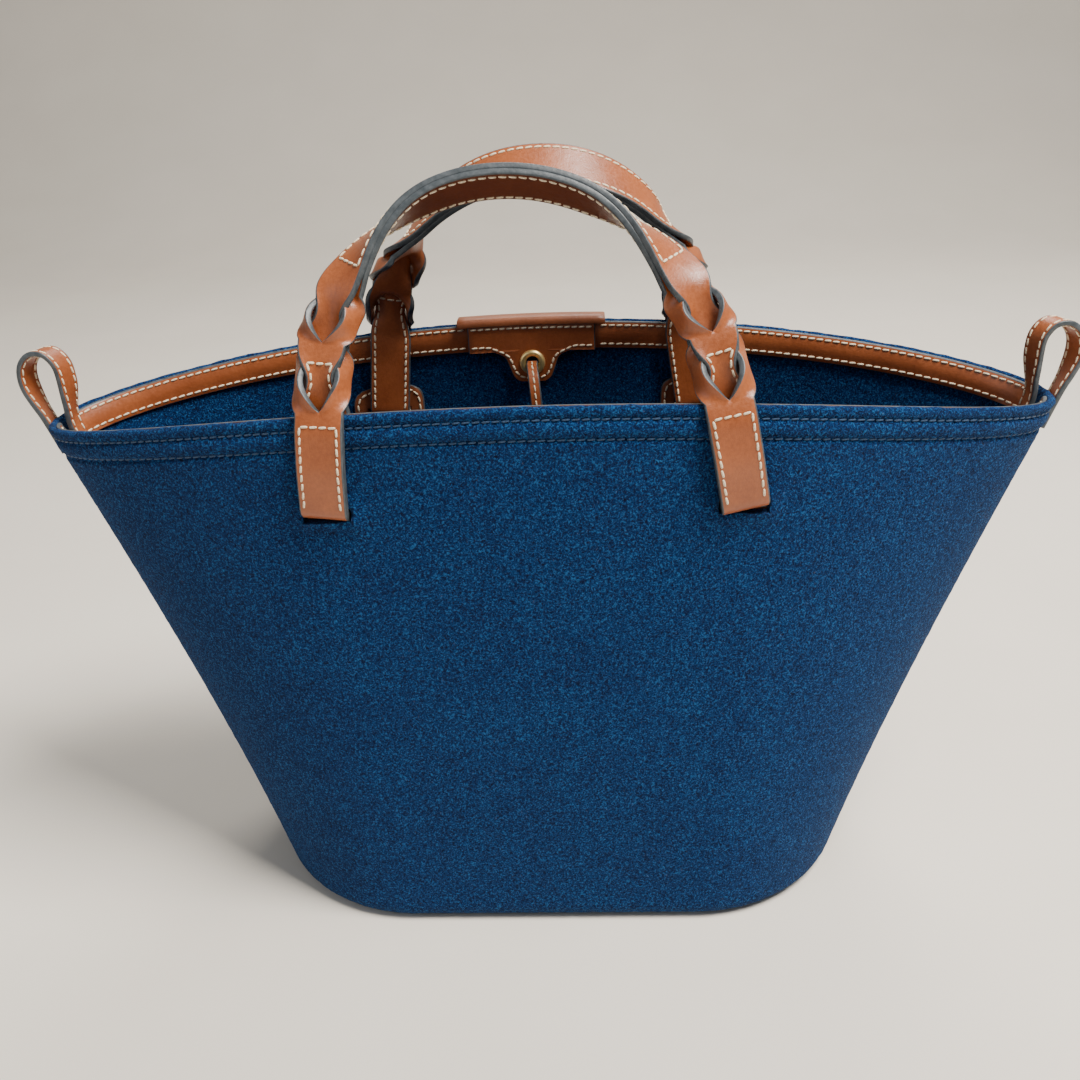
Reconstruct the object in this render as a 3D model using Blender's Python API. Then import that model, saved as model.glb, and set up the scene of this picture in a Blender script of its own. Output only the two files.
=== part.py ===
"""A small felt basket bag with two folding leather handles, side loops and a hanging closure strap.

The bag stands on the floor at z = 0, centred on the origin, and is long along X. The front faces -Y.
The front and back halves are the same parts turned half round about Z.
"""

import math

import bmesh
import bpy
import numpy as np
from mathutils import Matrix, Vector

# The felt body: an oval base that opens into a long boat-shaped rim.
RIM_WIDTH = 0.380
RIM_DEPTH = 0.113
RIM_HEIGHT = 0.2175
RIM_CROWN = 0.0186  # how far the rim's ends sit below its middle
RIM_POWER = 2.15  # the superellipse power of the rim's outline
BASE_LENGTH = 0.241
BASE_DEPTH = 0.127
BOTTOM_RADIUS = 0.007  # the round turn from wall to base
LOW_ROWS = (0.0006, 0.0018, 0.0040, BOTTOM_RADIUS)  # heights of the wall's rows round that turn
FELT = 0.003
GAP = 0.0003  # the clearance between touching pieces

# The leather.
FACING_HEIGHT = 0.012
FACING_TOP = 0.0004  # how far the band's top edge sits below the felt's
FACING = 0.0012
STRAP_WIDTH = 0.0165
STRAP = 0.0034
SLOT_DROP = 0.035  # from the rim down to the slots that the handle ends pass through
SLOT_PLAY = 0.0006
SLOT_DEPTH = 0.016  # of the block that cuts a slot
LOOP_ABOVE = 0.0014  # how far a handle loop's two ends stand above the rim
LOOP_CORNER = 0.0022
SLOT_RIM = 0.2149  # the rim's height over the slots
PATCH_WIDTH = 0.030
PATCH_HEIGHT = 0.024
PATCH = 0.0009
PATCH_POWER = 4  # how square the patch's outline is

# The handles, drawn in their own plane, which leans in over the bag.
# Each handle has its two slots' X, the X of its two feet on the rim, and the sideways lean of its top.
# The back handle's are those before it is turned round.
HANDLES = {
    "front": {"slots": (-0.0735, 0.0695), "feet": (-0.0712, 0.0628), "skew": -0.0060},
    "back": {"slots": (-0.0635, 0.0680), "feet": (-0.0580, 0.0640), "skew": -0.0045},
}
HANDLE_RISE = 0.075
HANDLE_LEAN = math.radians(26)
ARCH_POWER = 2.05
HINGE_X = 0.066  # where the wall's curve sets the fold line's Y
HINGE_INSET = 0.0022  # the fold line, in from the felt's outer face
HINGE_Z = 0.2160
BRAID_START = 0.0106
GRIP_START = 0.047  # rise at which the two plaited strands become one grip
GRIP_LAYER = 0.0017
GRIP_TOP = 0.995  # the share of the rise at which the grip's two sides meet
GRIP_STEPS = 12
STRAND_GAP = 0.0012  # the rise left free between the strands and the grip
STRAND_STEPS = 18
STRAND_WIDTH = 0.0070
STRAND_THICK = 0.0034
BRAID_SWING = 0.0050
BRAID_DEPTH = 0.0024
BRAID_TURNS = 1.5

# The closure strap's eyelet and tab, inside the back.
CLOSURE_X = -0.0055
TAB_BAND_WIDTH = 0.053
TAB_TOP_WIDTH = 0.026
TAB_TIP_WIDTH = 0.015
TAB_HEIGHT = 0.0255
TAB_DROPS = (TAB_HEIGHT, 0.019, 0.0135, FACING_HEIGHT, 0.006, 0.0008)  # its rows, below the rim
EYELET_Z = 0.2005
EYELET_HOLE = 0.0029
EYELET_BARREL = 0.0035
EYELET_FLANGE = 0.0054
EYELET_METAL = 0.0008
EYELET_SOFT = 0.0006  # the bevel of its outer edge
EYELET_BEHIND = 0.0009  # how far its barrel reaches behind the tab
WASHER = 0.0005
CORD_WIDTH = 0.0048
CORD_THICK = 0.0018
KNOT_RADIUS = 0.0050
# The hanging strap's line from the eyelet: sideways, forward and down.
CLOSURE_LINE = (
    (0.0000, 0.0000, 0.0000), (0.0000, 0.0040, 0.0004), (0.0006, 0.0085, 0.0030), (0.0012, 0.0110, 0.0085),
    (0.0016, 0.0112, 0.0160), (0.0018, 0.0102, 0.0300), (0.0020, 0.0094, 0.0480), (0.0018, 0.0092, 0.0680),
    (0.0016, 0.0092, 0.0880),
)

# The leather cap over the middle of the back rim.
CAP_WIDTH = 0.0615
CAP = 0.0013
CAP_DROPS = (0.011, 0.006, -GAP)  # its rows outside, below the rim, and the last over the top

# The side loops.
LOOP_WIDTH = 0.0085
LOOP_THICK = 0.0020
# A loop's line, as distance along X and height, from its outer leg's foot over to its inner leg's foot.
LOOP_LINE = (
    (0.1868, 0.1860), (0.1911, 0.1985), (0.1940, 0.2065), (0.1957, 0.2140), (0.1947, 0.2205),
    (0.1905, 0.2249), (0.1852, 0.2250), (0.1816, 0.2208), (0.1808, 0.2140), (0.1814, 0.2060),
    (0.1820, 0.1985), (0.1800, 0.1900), (0.1762, 0.1780),
)

COLUMNS = 40  # facets across each felt panel
HALF_TURN = Matrix.Rotation(math.pi, 4, "Z")


def clear_scene():
    for old in list(bpy.data.objects):
        bpy.data.objects.remove(old, do_unlink=True)


def material(name, colour, roughness, metallic=0.0):
    made = bpy.data.materials.new(name)
    made.use_nodes = True
    shader = made.node_tree.nodes["Principled BSDF"]
    shader.inputs["Base Color"].default_value = (*colour, 1.0)
    shader.inputs["Roughness"].default_value = roughness
    shader.inputs["Metallic"].default_value = metallic
    return made


def add_object(name, mesh_data, look):
    """Puts a bmesh into the scene as one named object with its faces pointing out."""
    bmesh.ops.recalc_face_normals(mesh_data, faces=mesh_data.faces)
    mesh = bpy.data.meshes.new(name)
    mesh_data.to_mesh(mesh)
    mesh_data.free()
    mesh.materials.append(look)
    made = bpy.data.objects.new(name, mesh)
    bpy.context.scene.collection.objects.link(made)
    return made


# ---- the felt wall's surface -------------------------------------------------------------------


def evenly(points, count):
    """Resamples a polyline at count + 1 points, evenly spaced along it."""
    points = np.array(points)
    steps = np.hypot(*np.diff(points, axis=0).T)
    along = np.concatenate([[0], np.cumsum(steps)])
    wanted = np.linspace(0, along[-1], count + 1)
    return np.stack([np.interp(wanted, along, points[:, k]) for k in (0, 1)], axis=1)


def rim_quarter(count):
    """A quarter of the rim's superellipse, from the front's middle round to the +X end."""
    power = 2 / RIM_POWER
    angles = np.linspace(0, math.pi / 2, 400)
    x = RIM_WIDTH / 2 * np.sin(angles) ** power
    y = -RIM_DEPTH / 2 * np.abs(np.cos(angles)) ** power
    return evenly(np.stack([x, y], axis=1), count)


def base_quarter(count):
    """A quarter of the base's outline: a straight stretch, then a quarter circle."""
    radius = BASE_DEPTH / 2
    straight = BASE_LENGTH / 2 - radius
    angles = np.linspace(-math.pi / 2, 0, 60)
    arc = [(straight + radius * math.cos(a), radius * math.sin(a)) for a in angles]
    return evenly([(0, -radius), *arc], count)


QUARTER = COLUMNS // 2
RIM_QUARTER = rim_quarter(QUARTER)
BASE_QUARTER = base_quarter(QUARTER)


def closed_loop(quarter):
    """The whole outline from its quarter, as 4 * QUARTER points counter-clockwise from the -X end."""
    front_left = quarter[:0:-1] * (-1, 1)
    front = np.concatenate([front_left, quarter[:-1]])
    return np.concatenate([front, -front])


def level_loop(height, inset):
    """The wall's outline at a height fraction (0 base, 1 rim), moved in by inset."""
    loop = closed_loop(BASE_QUARTER * (1 - height) + RIM_QUARTER * height)
    tangent = np.roll(loop, -1, axis=0) - np.roll(loop, 1, axis=0)
    inward = np.stack([-tangent[:, 1], tangent[:, 0]], axis=1)
    inward /= np.linalg.norm(inward, axis=1)[:, None]
    return loop + inward * inset


def rim_z(x):
    return RIM_HEIGHT - RIM_CROWN * (2 * x / RIM_WIDTH) ** 2


def front_line(height, inset):
    """The front half of level_loop, from the -X end to the +X end, kept clear of the back half."""
    line = level_loop(height, inset)
    line = np.concatenate([line[: 2 * QUARTER], line[2 * QUARTER : 2 * QUARTER + 1]])
    line[:, 1] = np.minimum(line[:, 1], -GAP / 2)
    return line


def wall_y(x, z, inset):
    """The Y of the front wall at x and z, moved in by inset from its outer face."""
    line = front_line(z / rim_z(x), inset)
    return float(np.interp(x, line[:, 0], line[:, 1]))


def bottom_inset(z):
    """How far the wall has turned in under itself at a low height z."""
    if z >= BOTTOM_RADIUS:
        return 0.0
    return BOTTOM_RADIUS - math.sqrt(BOTTOM_RADIUS**2 - (BOTTOM_RADIUS - z) ** 2)


# ---- builders ----------------------------------------------------------------------------------


def sheet_solid(outer, inner):
    """A bmesh of the closed solid between two equal grids of points, given as lists of rows."""
    made = bmesh.new()
    grids = [[[made.verts.new(p) for p in row] for row in grid] for grid in (outer, inner)]
    rows, columns = len(outer), len(outer[0])
    for grid in grids:
        for r in range(rows - 1):
            for c in range(columns - 1):
                made.faces.new((grid[r][c], grid[r][c + 1], grid[r + 1][c + 1], grid[r + 1][c]))
    border = [(0, c) for c in range(columns)]
    border += [(r, columns - 1) for r in range(1, rows)]
    border += [(rows - 1, c) for c in range(columns - 2, -1, -1)]
    border += [(r, 0) for r in range(rows - 2, 0, -1)]
    for (r0, c0), (r1, c1) in zip(border, border[1:] + border[:1]):
        made.faces.new((grids[0][r0][c0], grids[0][r1][c1], grids[1][r1][c1], grids[1][r0][c0]))
    return made


def ribbon(frames, width, thickness, sides=4):
    """A bmesh of a strap along frames of (centre, across, out). It has a square or a round section."""
    if sides == 4:
        corners = [(-0.5, -0.5), (0.5, -0.5), (0.5, 0.5), (-0.5, 0.5)]
    else:
        turns = [2 * math.pi * k / sides for k in range(sides)]
        corners = [(0.5 * math.cos(a), 0.5 * math.sin(a)) for a in turns]
    made = bmesh.new()
    rings = []
    for centre, across, out in frames:
        ring = [centre + across * (width * u) + out * (thickness * v) for u, v in corners]
        rings.append([made.verts.new(p) for p in ring])
    for first, second in zip(rings, rings[1:]):
        for k in range(sides):
            after = (k + 1) % sides
            made.faces.new((first[k], first[after], second[after], second[k]))
    made.faces.new(rings[0])
    made.faces.new(rings[-1])
    return made


def smooth_path(points, steps):
    """Points on a Catmull-Rom curve through the given points, steps to each stretch."""
    points = [Vector(p) for p in points]
    padded = [2 * points[0] - points[1], *points, 2 * points[-1] - points[-2]]
    path = []
    for a, b, c, d in zip(padded, padded[1:], padded[2:], padded[3:]):
        for k in range(steps):
            t = k / steps
            path.append(
                0.5 * (2 * b + (c - a) * t + (2 * a - 5 * b + 4 * c - d) * t**2
                       + (3 * b - a - 3 * c + d) * t**3)
            )
    return [*path, points[-1]]


def frames_along(path, across):
    """Ribbon frames on a path whose strap keeps one across direction."""
    across = Vector(across).normalized()
    frames = []
    for k, point in enumerate(path):
        along = path[min(k + 1, len(path) - 1)] - path[max(k - 1, 0)]
        frames.append((point, across, across.cross(along).normalized()))
    return frames


def add_ring(name, profile, centre, look, sides=24):
    """A ring turned about an axis along Y, from a closed profile of (radius, y) points."""
    made = bmesh.new()
    rings = []
    for k in range(sides):
        turn = 2 * math.pi * k / sides
        rings.append([made.verts.new((r * math.cos(turn), y, r * math.sin(turn))) for r, y in profile])
    for first, second in zip(rings, rings[1:] + rings[:1]):
        for k in range(len(profile)):
            after = (k + 1) % len(profile)
            made.faces.new((first[k], first[after], second[after], second[k]))
    bmesh.ops.translate(made, verts=made.verts, vec=centre)
    return add_object(name, made, look)


def cut(target, cutter):
    """Takes the cutter from the target, and hides the cutter."""
    cutter.hide_render = True
    cutter.display_type = "WIRE"
    boolean = target.modifiers.new(cutter.name, "BOOLEAN")
    boolean.operation = "DIFFERENCE"
    boolean.object = cutter


def turned(made, is_back):
    """Turns a piece made for the front half round to the back."""
    if is_back:
        made.data.transform(HALF_TURN)
    return made


# ---- the felt and its leather facing ----------------------------------------------------------


def panel_rows(inset):
    """Grid rows of one face of the front felt panel, from the floor to the rim."""
    rows = []
    for z in LOW_ROWS:
        line = front_line(z / RIM_HEIGHT, bottom_inset(z) + inset)
        rows.append([(x, y, z) for x, y in line])
    for height in (0.2, 0.4, 0.6, 0.8, 1.0):
        share = level_share(height)
        row = []
        for (x, y), (outer_x, _) in zip(front_line(height, inset), front_line(height, 0)):
            row.append((x, y, BOTTOM_RADIUS + (rim_z(outer_x) - BOTTOM_RADIUS) * share))
        rows.append(row)
    return rows


def level_share(height):
    """The share of the way from the bottom turn to the rim that a height fraction stands for."""
    start = BOTTOM_RADIUS / RIM_HEIGHT
    return (height - start) / (1 - start)


def slot_cutter(name, x, is_back):
    """A block that cuts a handle slot through the felt and its inner patch."""
    z = SLOT_RIM - SLOT_DROP
    y = wall_y(x, z, FELT / 2)
    made = bmesh.new()
    bmesh.ops.create_cube(made, size=1)
    bmesh.ops.scale(made, verts=made.verts,
                    vec=(STRAP_WIDTH + 2 * SLOT_PLAY, SLOT_DEPTH, STRAP + 2 * SLOT_PLAY))
    bmesh.ops.translate(made, verts=made.verts, vec=(x, y, z))
    return turned(add_object(name, made, LOOKS["felt"]), is_back)


def make_panel(side, is_back):
    solid = sheet_solid(panel_rows(0), panel_rows(FELT))
    panel = turned(add_object(f"felt_{side}_panel", solid, LOOKS["felt"]), is_back)
    for end, x in zip("ab", HANDLES[side]["slots"]):
        cut(panel, slot_cutter(f"cutter_{side}_{end}", x, is_back))


def make_base():
    """The flat oval of felt inside the foot of the wall."""
    inset = bottom_inset(LOW_ROWS[0]) + FELT + GAP
    outline = level_loop(0, inset)
    made = bmesh.new()
    face = made.faces.new([made.verts.new((x, y, 0)) for x, y in outline])
    grown = bmesh.ops.extrude_face_region(made, geom=[face])
    top = [v for v in grown["geom"] if isinstance(v, bmesh.types.BMVert)]
    bmesh.ops.translate(made, verts=top, vec=(0, 0, FELT))
    add_object("felt_base_panel", made, LOOKS["felt"])


def band_rows(inset, *drops):
    """Grid rows of a band that hugs the wall, one row at each drop below the rim."""
    rows = []
    rim = front_line(1.0, 0)
    for drop in drops:
        row = []
        for column, (x, _) in enumerate(rim):
            line_x, line_y = front_line(1 - drop / rim_z(x), inset)[column]
            row.append((line_x, line_y, rim_z(x) - drop))
        rows.append(row)
    return rows


def make_facing(side, is_back):
    """The leather band sewn along the inside of the rim."""
    outer = band_rows(FELT + GAP, FACING_HEIGHT, FACING_TOP)
    inner = band_rows(FELT + GAP + FACING, FACING_HEIGHT, FACING_TOP)
    turned(add_object(f"rim_facing_{side}", sheet_solid(outer, inner), LOOKS["leather"]), is_back)


# ---- handle ends -------------------------------------------------------------------------------


def strap_end_frames(slot_x, foot_x):
    """Frames of a strap from the rim, down outside, in through the slot and up inside."""
    slot_z = SLOT_RIM - SLOT_DROP
    top_z = rim_z(foot_x) + LOOP_ABOVE
    outside = -(GAP + STRAP / 2)
    inside = FELT + 3 * GAP + FACING + STRAP / 2
    corner = LOOP_CORNER
    turns = [math.radians(a) for a in (22.5, 45, 67.5)]
    low = [(outside, slot_z + corner)]
    low += [(outside + corner * (1 - math.cos(a)), slot_z + corner * (1 - math.sin(a))) for a in turns]
    low += [(outside + corner, slot_z), (inside - corner, slot_z)]
    low += [(inside - corner * (1 - math.sin(a)), slot_z + corner * (1 - math.cos(a))) for a in turns]
    low += [(inside, slot_z + corner)]
    rises = [top_z + (slot_z + corner - top_z) * k / 6 for k in range(6)]
    route = [(outside, z) for z in rises] + low + [(inside, z) for z in rises[::-1]]
    frames = []
    for k, (inset, z) in enumerate(route):
        share = min(1.0, max(0.0, (z - slot_z) / (top_z - slot_z)))
        x = slot_x + (foot_x - slot_x) * share
        z_on_wall = min(z, rim_z(x))
        half = STRAP_WIDTH / 2
        left = wall_y(x - half, z_on_wall, 0)
        right = wall_y(x + half, z_on_wall, 0)
        across = Vector((STRAP_WIDTH, right - left, 0)).normalized()
        normal = Vector((-across.y, across.x, 0))
        centre = Vector((x, (left + right) / 2, z)) + normal * inset
        before = route[max(k - 1, 0)]
        after = route[min(k + 1, len(route) - 1)]
        along = normal * (after[0] - before[0]) + Vector((0, 0, after[1] - before[1]))
        frames.append((centre, across, across.cross(along).normalized()))
    return frames


def make_strap_end(side, end, slot_x, foot_x, is_back):
    solid = ribbon(strap_end_frames(slot_x, foot_x), STRAP_WIDTH, STRAP)
    turned(add_object(f"handle_loop_{side}_{end}", solid, LOOKS["leather"]), is_back)


def make_slot_patch(side, end, slot_x, is_back):
    """The round-ended leather patch that backs a slot inside, cut by the same slot."""
    slot_z = SLOT_RIM - SLOT_DROP
    half_w, half_h = PATCH_WIDTH / 2, PATCH_HEIGHT / 2
    rows = []
    heights = [math.sin(math.radians(a)) for a in range(-75, 90, 15)]
    for near in (FELT + GAP, FELT + GAP + PATCH):
        grid = []
        for share in heights:
            z = slot_z + half_h * share
            half = half_w * (1 - abs(share) ** PATCH_POWER) ** (1 / PATCH_POWER)
            xs = [slot_x + half * (k / 4 - 1) for k in range(9)]
            grid.append([(x, wall_y(x, z, near), z) for x in xs])
        rows.append(grid)
    patch = turned(add_object(f"slot_patch_{side}_{end}", sheet_solid(*rows), LOOKS["leather"]), is_back)
    cut(patch, slot_cutter(f"cutter_patch_{side}_{end}", slot_x, is_back))


# ---- handles -----------------------------------------------------------------------------------


def arch_point(side, angle):
    """(x, rise) on a handle's centre line, in its own plane. 0 is the +X foot, pi the -X foot."""
    left, right = HANDLES[side]["feet"]
    half, middle = (right - left) / 2, (right + left) / 2
    power = 2 / ARCH_POWER
    rise = math.sin(angle) ** power
    reach = math.copysign(abs(math.cos(angle)) ** power, math.cos(angle))
    return middle + half * reach + HANDLES[side]["skew"] * rise, HANDLE_RISE * rise


def hinge_y():
    return wall_y(HINGE_X, rim_z(HINGE_X), HINGE_INSET)


def in_plane(x, rise, out=0.0):
    """A point of the leaning handle plane: x, rise above the fold line, and out from the plane."""
    lean = HANDLE_LEAN
    y = hinge_y() + rise * math.sin(lean) - out * math.cos(lean)
    z = HINGE_Z + rise * math.cos(lean) + out * math.sin(lean)
    return Vector((x, y, z))


def arch_angles(low, high, count, from_left):
    """Angles whose rises run evenly from low to high on one side of the arch."""
    angles = []
    for k in range(count + 1):
        rise = low + (high - low) * k / count
        angle = math.asin(min(1.0, (rise / HANDLE_RISE) ** (ARCH_POWER / 2)))
        angles.append(math.pi - angle if from_left else angle)
    return angles


def arch_frame(side, angle, offset):
    """(centre, across, out) at an angle on the arch, moved outwards from its centre line."""
    step = 1e-4
    x0, rise0 = arch_point(side, angle - step)
    x1, rise1 = arch_point(side, angle + step)
    x, rise = arch_point(side, angle)
    normal = Vector((rise1 - rise0, 0, -(x1 - x0))).normalized()
    centre = in_plane(x + normal.x * offset, rise + normal.z * offset)
    across = in_plane(0, 0, 1) - in_plane(0, 0, 0)
    out = in_plane(normal.x, normal.z) - in_plane(0, 0)
    return centre, across, out


def make_grip(side, is_back):
    """The handle's two leather layers, one on the other, between the plaited ends."""
    left = arch_angles(GRIP_START, HANDLE_RISE * GRIP_TOP, GRIP_STEPS, True)
    right = arch_angles(HANDLE_RISE * GRIP_TOP, GRIP_START, GRIP_STEPS, False)
    for layer, sign in (("outer", 1), ("inner", -1)):
        offset = sign * (GRIP_LAYER + GAP) / 2
        frames = [arch_frame(side, a, offset) for a in [*left, *right]]
        solid = ribbon(frames, STRAP_WIDTH, GRIP_LAYER)
        turned(add_object(f"{side}_grip_{layer}", solid, LOOKS["leather"]), is_back)


def make_strands(side, end, from_left, is_back):
    """Two flat strands wound round each other from the fold line up to the grip."""
    angles = arch_angles(BRAID_START, GRIP_START - STRAND_GAP, STRAND_STEPS, from_left)
    for strand, phase in (("outer", 0.0), ("inner", math.pi)):
        frames = []
        for k, angle in enumerate(angles):
            centre, across, out = arch_frame(side, angle, 0)
            turn = phase + 2 * math.pi * BRAID_TURNS * k / STRAND_STEPS
            sway = BRAID_SWING * math.sin(turn)
            lift = BRAID_DEPTH * math.cos(turn)
            frames.append((centre + out * lift + across * sway, across, out))
        solid = ribbon(frames, STRAND_WIDTH, STRAND_THICK, sides=8)
        name = f"{side}_{end}_strand_{strand}"
        turned(add_object(name, solid, LOOKS["leather"]), is_back)


# ---- the back's closure pieces -----------------------------------------------------------------


def tab_half_width(drop):
    """Half the closure tab's width at a drop below the rim."""
    if drop <= FACING_HEIGHT:
        return TAB_BAND_WIDTH / 2
    share = (drop - FACING_HEIGHT) / (TAB_HEIGHT - FACING_HEIGHT)
    return (TAB_TOP_WIDTH * (1 - share) + TAB_TIP_WIDTH * share) / 2


def make_closure_tab():
    """A band over the facing with a tapered tongue that carries the eyelet."""
    near = FELT + 2 * GAP + FACING
    grids = []
    for inset in (near, near + FACING):
        grid = []
        for drop in TAB_DROPS:
            half = tab_half_width(drop)
            xs = [half * (k / 4 - 1) - CLOSURE_X for k in range(9)]
            grid.append([(x, wall_y(x, rim_z(x) - drop, inset), rim_z(x) - drop) for x in xs])
        grids.append(grid)
    tab = turned(add_object("closure_tab", sheet_solid(*grids), LOOKS["leather"]), True)
    place = Matrix.Translation((CLOSURE_X, -wall_y(0, EYELET_Z, near), EYELET_Z))
    hole = bmesh.new()
    bmesh.ops.create_cone(hole, cap_ends=True, segments=24, radius1=EYELET_BARREL + GAP,
                          radius2=EYELET_BARREL + GAP, depth=SLOT_DEPTH,
                          matrix=place @ Matrix.Rotation(math.pi / 2, 4, "X"))
    cut(tab, add_object("cutter_eyelet", hole, LOOKS["leather"]))


def make_eyelet():
    """A brass eyelet in the tab, with its washer behind."""
    face = FELT + 2 * GAP + 2 * FACING
    place = (CLOSURE_X, -wall_y(0, EYELET_Z, face), EYELET_Z)
    front, back = -GAP - EYELET_METAL, FACING + EYELET_BEHIND
    ring = [(EYELET_HOLE, front), (EYELET_FLANGE - EYELET_SOFT, front), (EYELET_FLANGE, front + EYELET_SOFT),
            (EYELET_FLANGE, -GAP), (EYELET_BARREL, -GAP), (EYELET_BARREL, back), (EYELET_HOLE, back)]
    add_ring("eyelet", ring, place, LOOKS["brass"])
    near = FACING + GAP
    hole, rim = EYELET_BARREL + GAP, EYELET_FLANGE - EYELET_SOFT
    washer = [(hole, near), (rim, near), (rim, near + WASHER), (hole, near + WASHER)]
    add_ring("eyelet_washer", washer, place, LOOKS["brass"])


def make_rim_cap():
    """A leather cap folded over the middle of the back rim: down outside, over the felt's top."""
    xs = [CAP_WIDTH * (k / 8 - 0.5) - CLOSURE_X for k in range(9)]
    near, far = [], []
    for drop in CAP_DROPS:
        lift = CAP if drop < 0 else 0
        below = max(drop, 0)
        near.append([(x, wall_y(x, rim_z(x) - below, -GAP), rim_z(x) - drop) for x in xs])
        far.append([(x, wall_y(x, rim_z(x) - below, -GAP - CAP), rim_z(x) - drop + lift) for x in xs])
    reach = FELT + 2 * GAP + 2 * FACING
    near.append([(x, wall_y(x, rim_z(x), reach), rim_z(x) + GAP) for x in xs])
    far.append([(x, wall_y(x, rim_z(x), reach), rim_z(x) + GAP + CAP) for x in xs])
    turned(add_object("rim_cap", sheet_solid(far, near), LOOKS["leather"]), True)


def closure_route():
    """The hanging strap's route: out of the eyelet, over in a round bend, and down."""
    face = FELT + 2 * GAP + 2 * FACING
    start = -wall_y(0, EYELET_Z, face) - EYELET_METAL - 2 * GAP
    return [(CLOSURE_X + x, start - forward, EYELET_Z - down) for x, forward, down in CLOSURE_LINE]


def make_closure_strap():
    path = smooth_path(closure_route(), 4)
    solid = ribbon(frames_along(path, (1, 0, 0)), CORD_WIDTH, CORD_THICK)
    add_object("closure_strap", solid, LOOKS["leather"])
    end = path[-1]
    knot = bmesh.new()
    bmesh.ops.create_uvsphere(knot, u_segments=12, v_segments=8, radius=KNOT_RADIUS)
    bmesh.ops.translate(knot, verts=knot.verts, vec=(end.x, end.y, end.z - KNOT_RADIUS - GAP))
    add_object("closure_knot", knot, LOOKS["leather"])


def make_side_loop(name, side):
    """A flat strap bent into a loop over one end of the rim: one leg outside, one inside."""
    path = smooth_path([(side * x, 0, z) for x, z in LOOP_LINE], 2)
    solid = ribbon(frames_along(path, (0, 1, 0)), LOOP_WIDTH, LOOP_THICK)
    add_object(name, solid, LOOKS["leather"])


clear_scene()
LOOKS = {
    "felt": material("felt", (0.012, 0.085, 0.220), 0.95),
    "leather": material("leather", (0.330, 0.090, 0.028), 0.45),
    "brass": material("brass", (0.780, 0.600, 0.280), 0.25, 1.0),
}
make_base()
for half, back in (("front", False), ("back", True)):
    make_panel(half, back)
    make_facing(half, back)
    make_grip(half, back)
    handle = HANDLES[half]
    for end_name, slot, foot in zip("ab", handle["slots"], handle["feet"]):
        make_strap_end(half, end_name, slot, foot, back)
        make_slot_patch(half, end_name, slot, back)
        make_strands(half, end_name, end_name == "a", back)
make_closure_tab()
make_eyelet()
make_rim_cap()
make_closure_strap()
make_side_loop("side_loop_left", -1)
make_side_loop("side_loop_right", 1)
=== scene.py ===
"""The looks of a felt basket bag with two plaited leather handles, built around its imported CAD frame.

Units are metres. The bag stands at z = 0, long along X, with its front towards -Y. The back half is made
like the front half and then turned half round about Z. Its slots and its handle have their own measures,
and only the back has the closure pieces.
"""

import math

import bmesh
import bpy
import numpy as np
from mathutils import Matrix, Vector, noise


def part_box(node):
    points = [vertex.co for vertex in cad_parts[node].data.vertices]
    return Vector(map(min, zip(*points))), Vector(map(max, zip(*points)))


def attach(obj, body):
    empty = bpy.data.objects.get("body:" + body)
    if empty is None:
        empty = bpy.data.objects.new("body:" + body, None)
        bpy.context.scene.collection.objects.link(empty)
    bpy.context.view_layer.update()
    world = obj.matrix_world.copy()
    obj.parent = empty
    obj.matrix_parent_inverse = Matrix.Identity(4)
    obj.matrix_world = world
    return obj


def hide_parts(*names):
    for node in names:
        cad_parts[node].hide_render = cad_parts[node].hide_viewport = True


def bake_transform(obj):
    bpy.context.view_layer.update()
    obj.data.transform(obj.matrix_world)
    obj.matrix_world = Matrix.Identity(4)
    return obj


MM = 0.001

# ---- driving dimensions, the same as the CAD's ------------------------------------------------

FELT = 3.0 * MM
GAP = 0.3 * MM
FACING = 1.2 * MM
FACING_HEIGHT = 12 * MM
RIM_DEPTH = 113 * MM
RIM_CROWN = 18.6 * MM
RIM_POWER = 2.15
BASE_LENGTH = 241 * MM
BASE_DEPTH = 127 * MM
BOTTOM_RADIUS = 7 * MM
STRAP_WIDTH = 16.5 * MM
STRAP_DOUBLE = 3.4 * MM  # two layers sewn together
STRAP_SINGLE = 2.3 * MM
SLOT_Z = 179.9 * MM  # the slots that the handle ends pass through
SLOT_PLAY = 0.6 * MM
# Each handle's two slots' X, its two feet's X on the rim, and the sideways lean of its top. The twist is
# how far its straps turn over at the top. The turn says where along them, up from the fold line, they go
# round from lying against the wall to lying flat on the arch. The back handle's are those before it is
# turned round.
HANDLES = {
    "front": {"slots": (-73.5 * MM, 69.5 * MM), "feet": (-71.2 * MM, 62.8 * MM), "skew": -6.0 * MM,
              "twist": math.radians(12), "turn": (18 * MM, 88 * MM)},
    "back": {"slots": (-63.5 * MM, 68.0 * MM), "feet": (-58.0 * MM, 64.0 * MM), "skew": -4.5 * MM,
             "twist": math.radians(18), "turn": (22 * MM, 60 * MM)},
}
HANDLE_RISE = 75 * MM
HANDLE_LEAN = math.radians(26)
ARCH_POWER = 2.05
HINGE_X = 66 * MM  # where the wall's curve sets the fold line's Y
CLOSURE_X = -5.5 * MM  # the middle of the closure pieces
HINGE_INSET = 2.2 * MM
HINGE_Z = 216 * MM
EYELET_Z = 200.5 * MM
STITCH_PITCH = 3.3 * MM
STITCH_MARGIN = 1.9 * MM
HALF_TURN = Matrix.Rotation(math.pi, 4, "Z")

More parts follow.
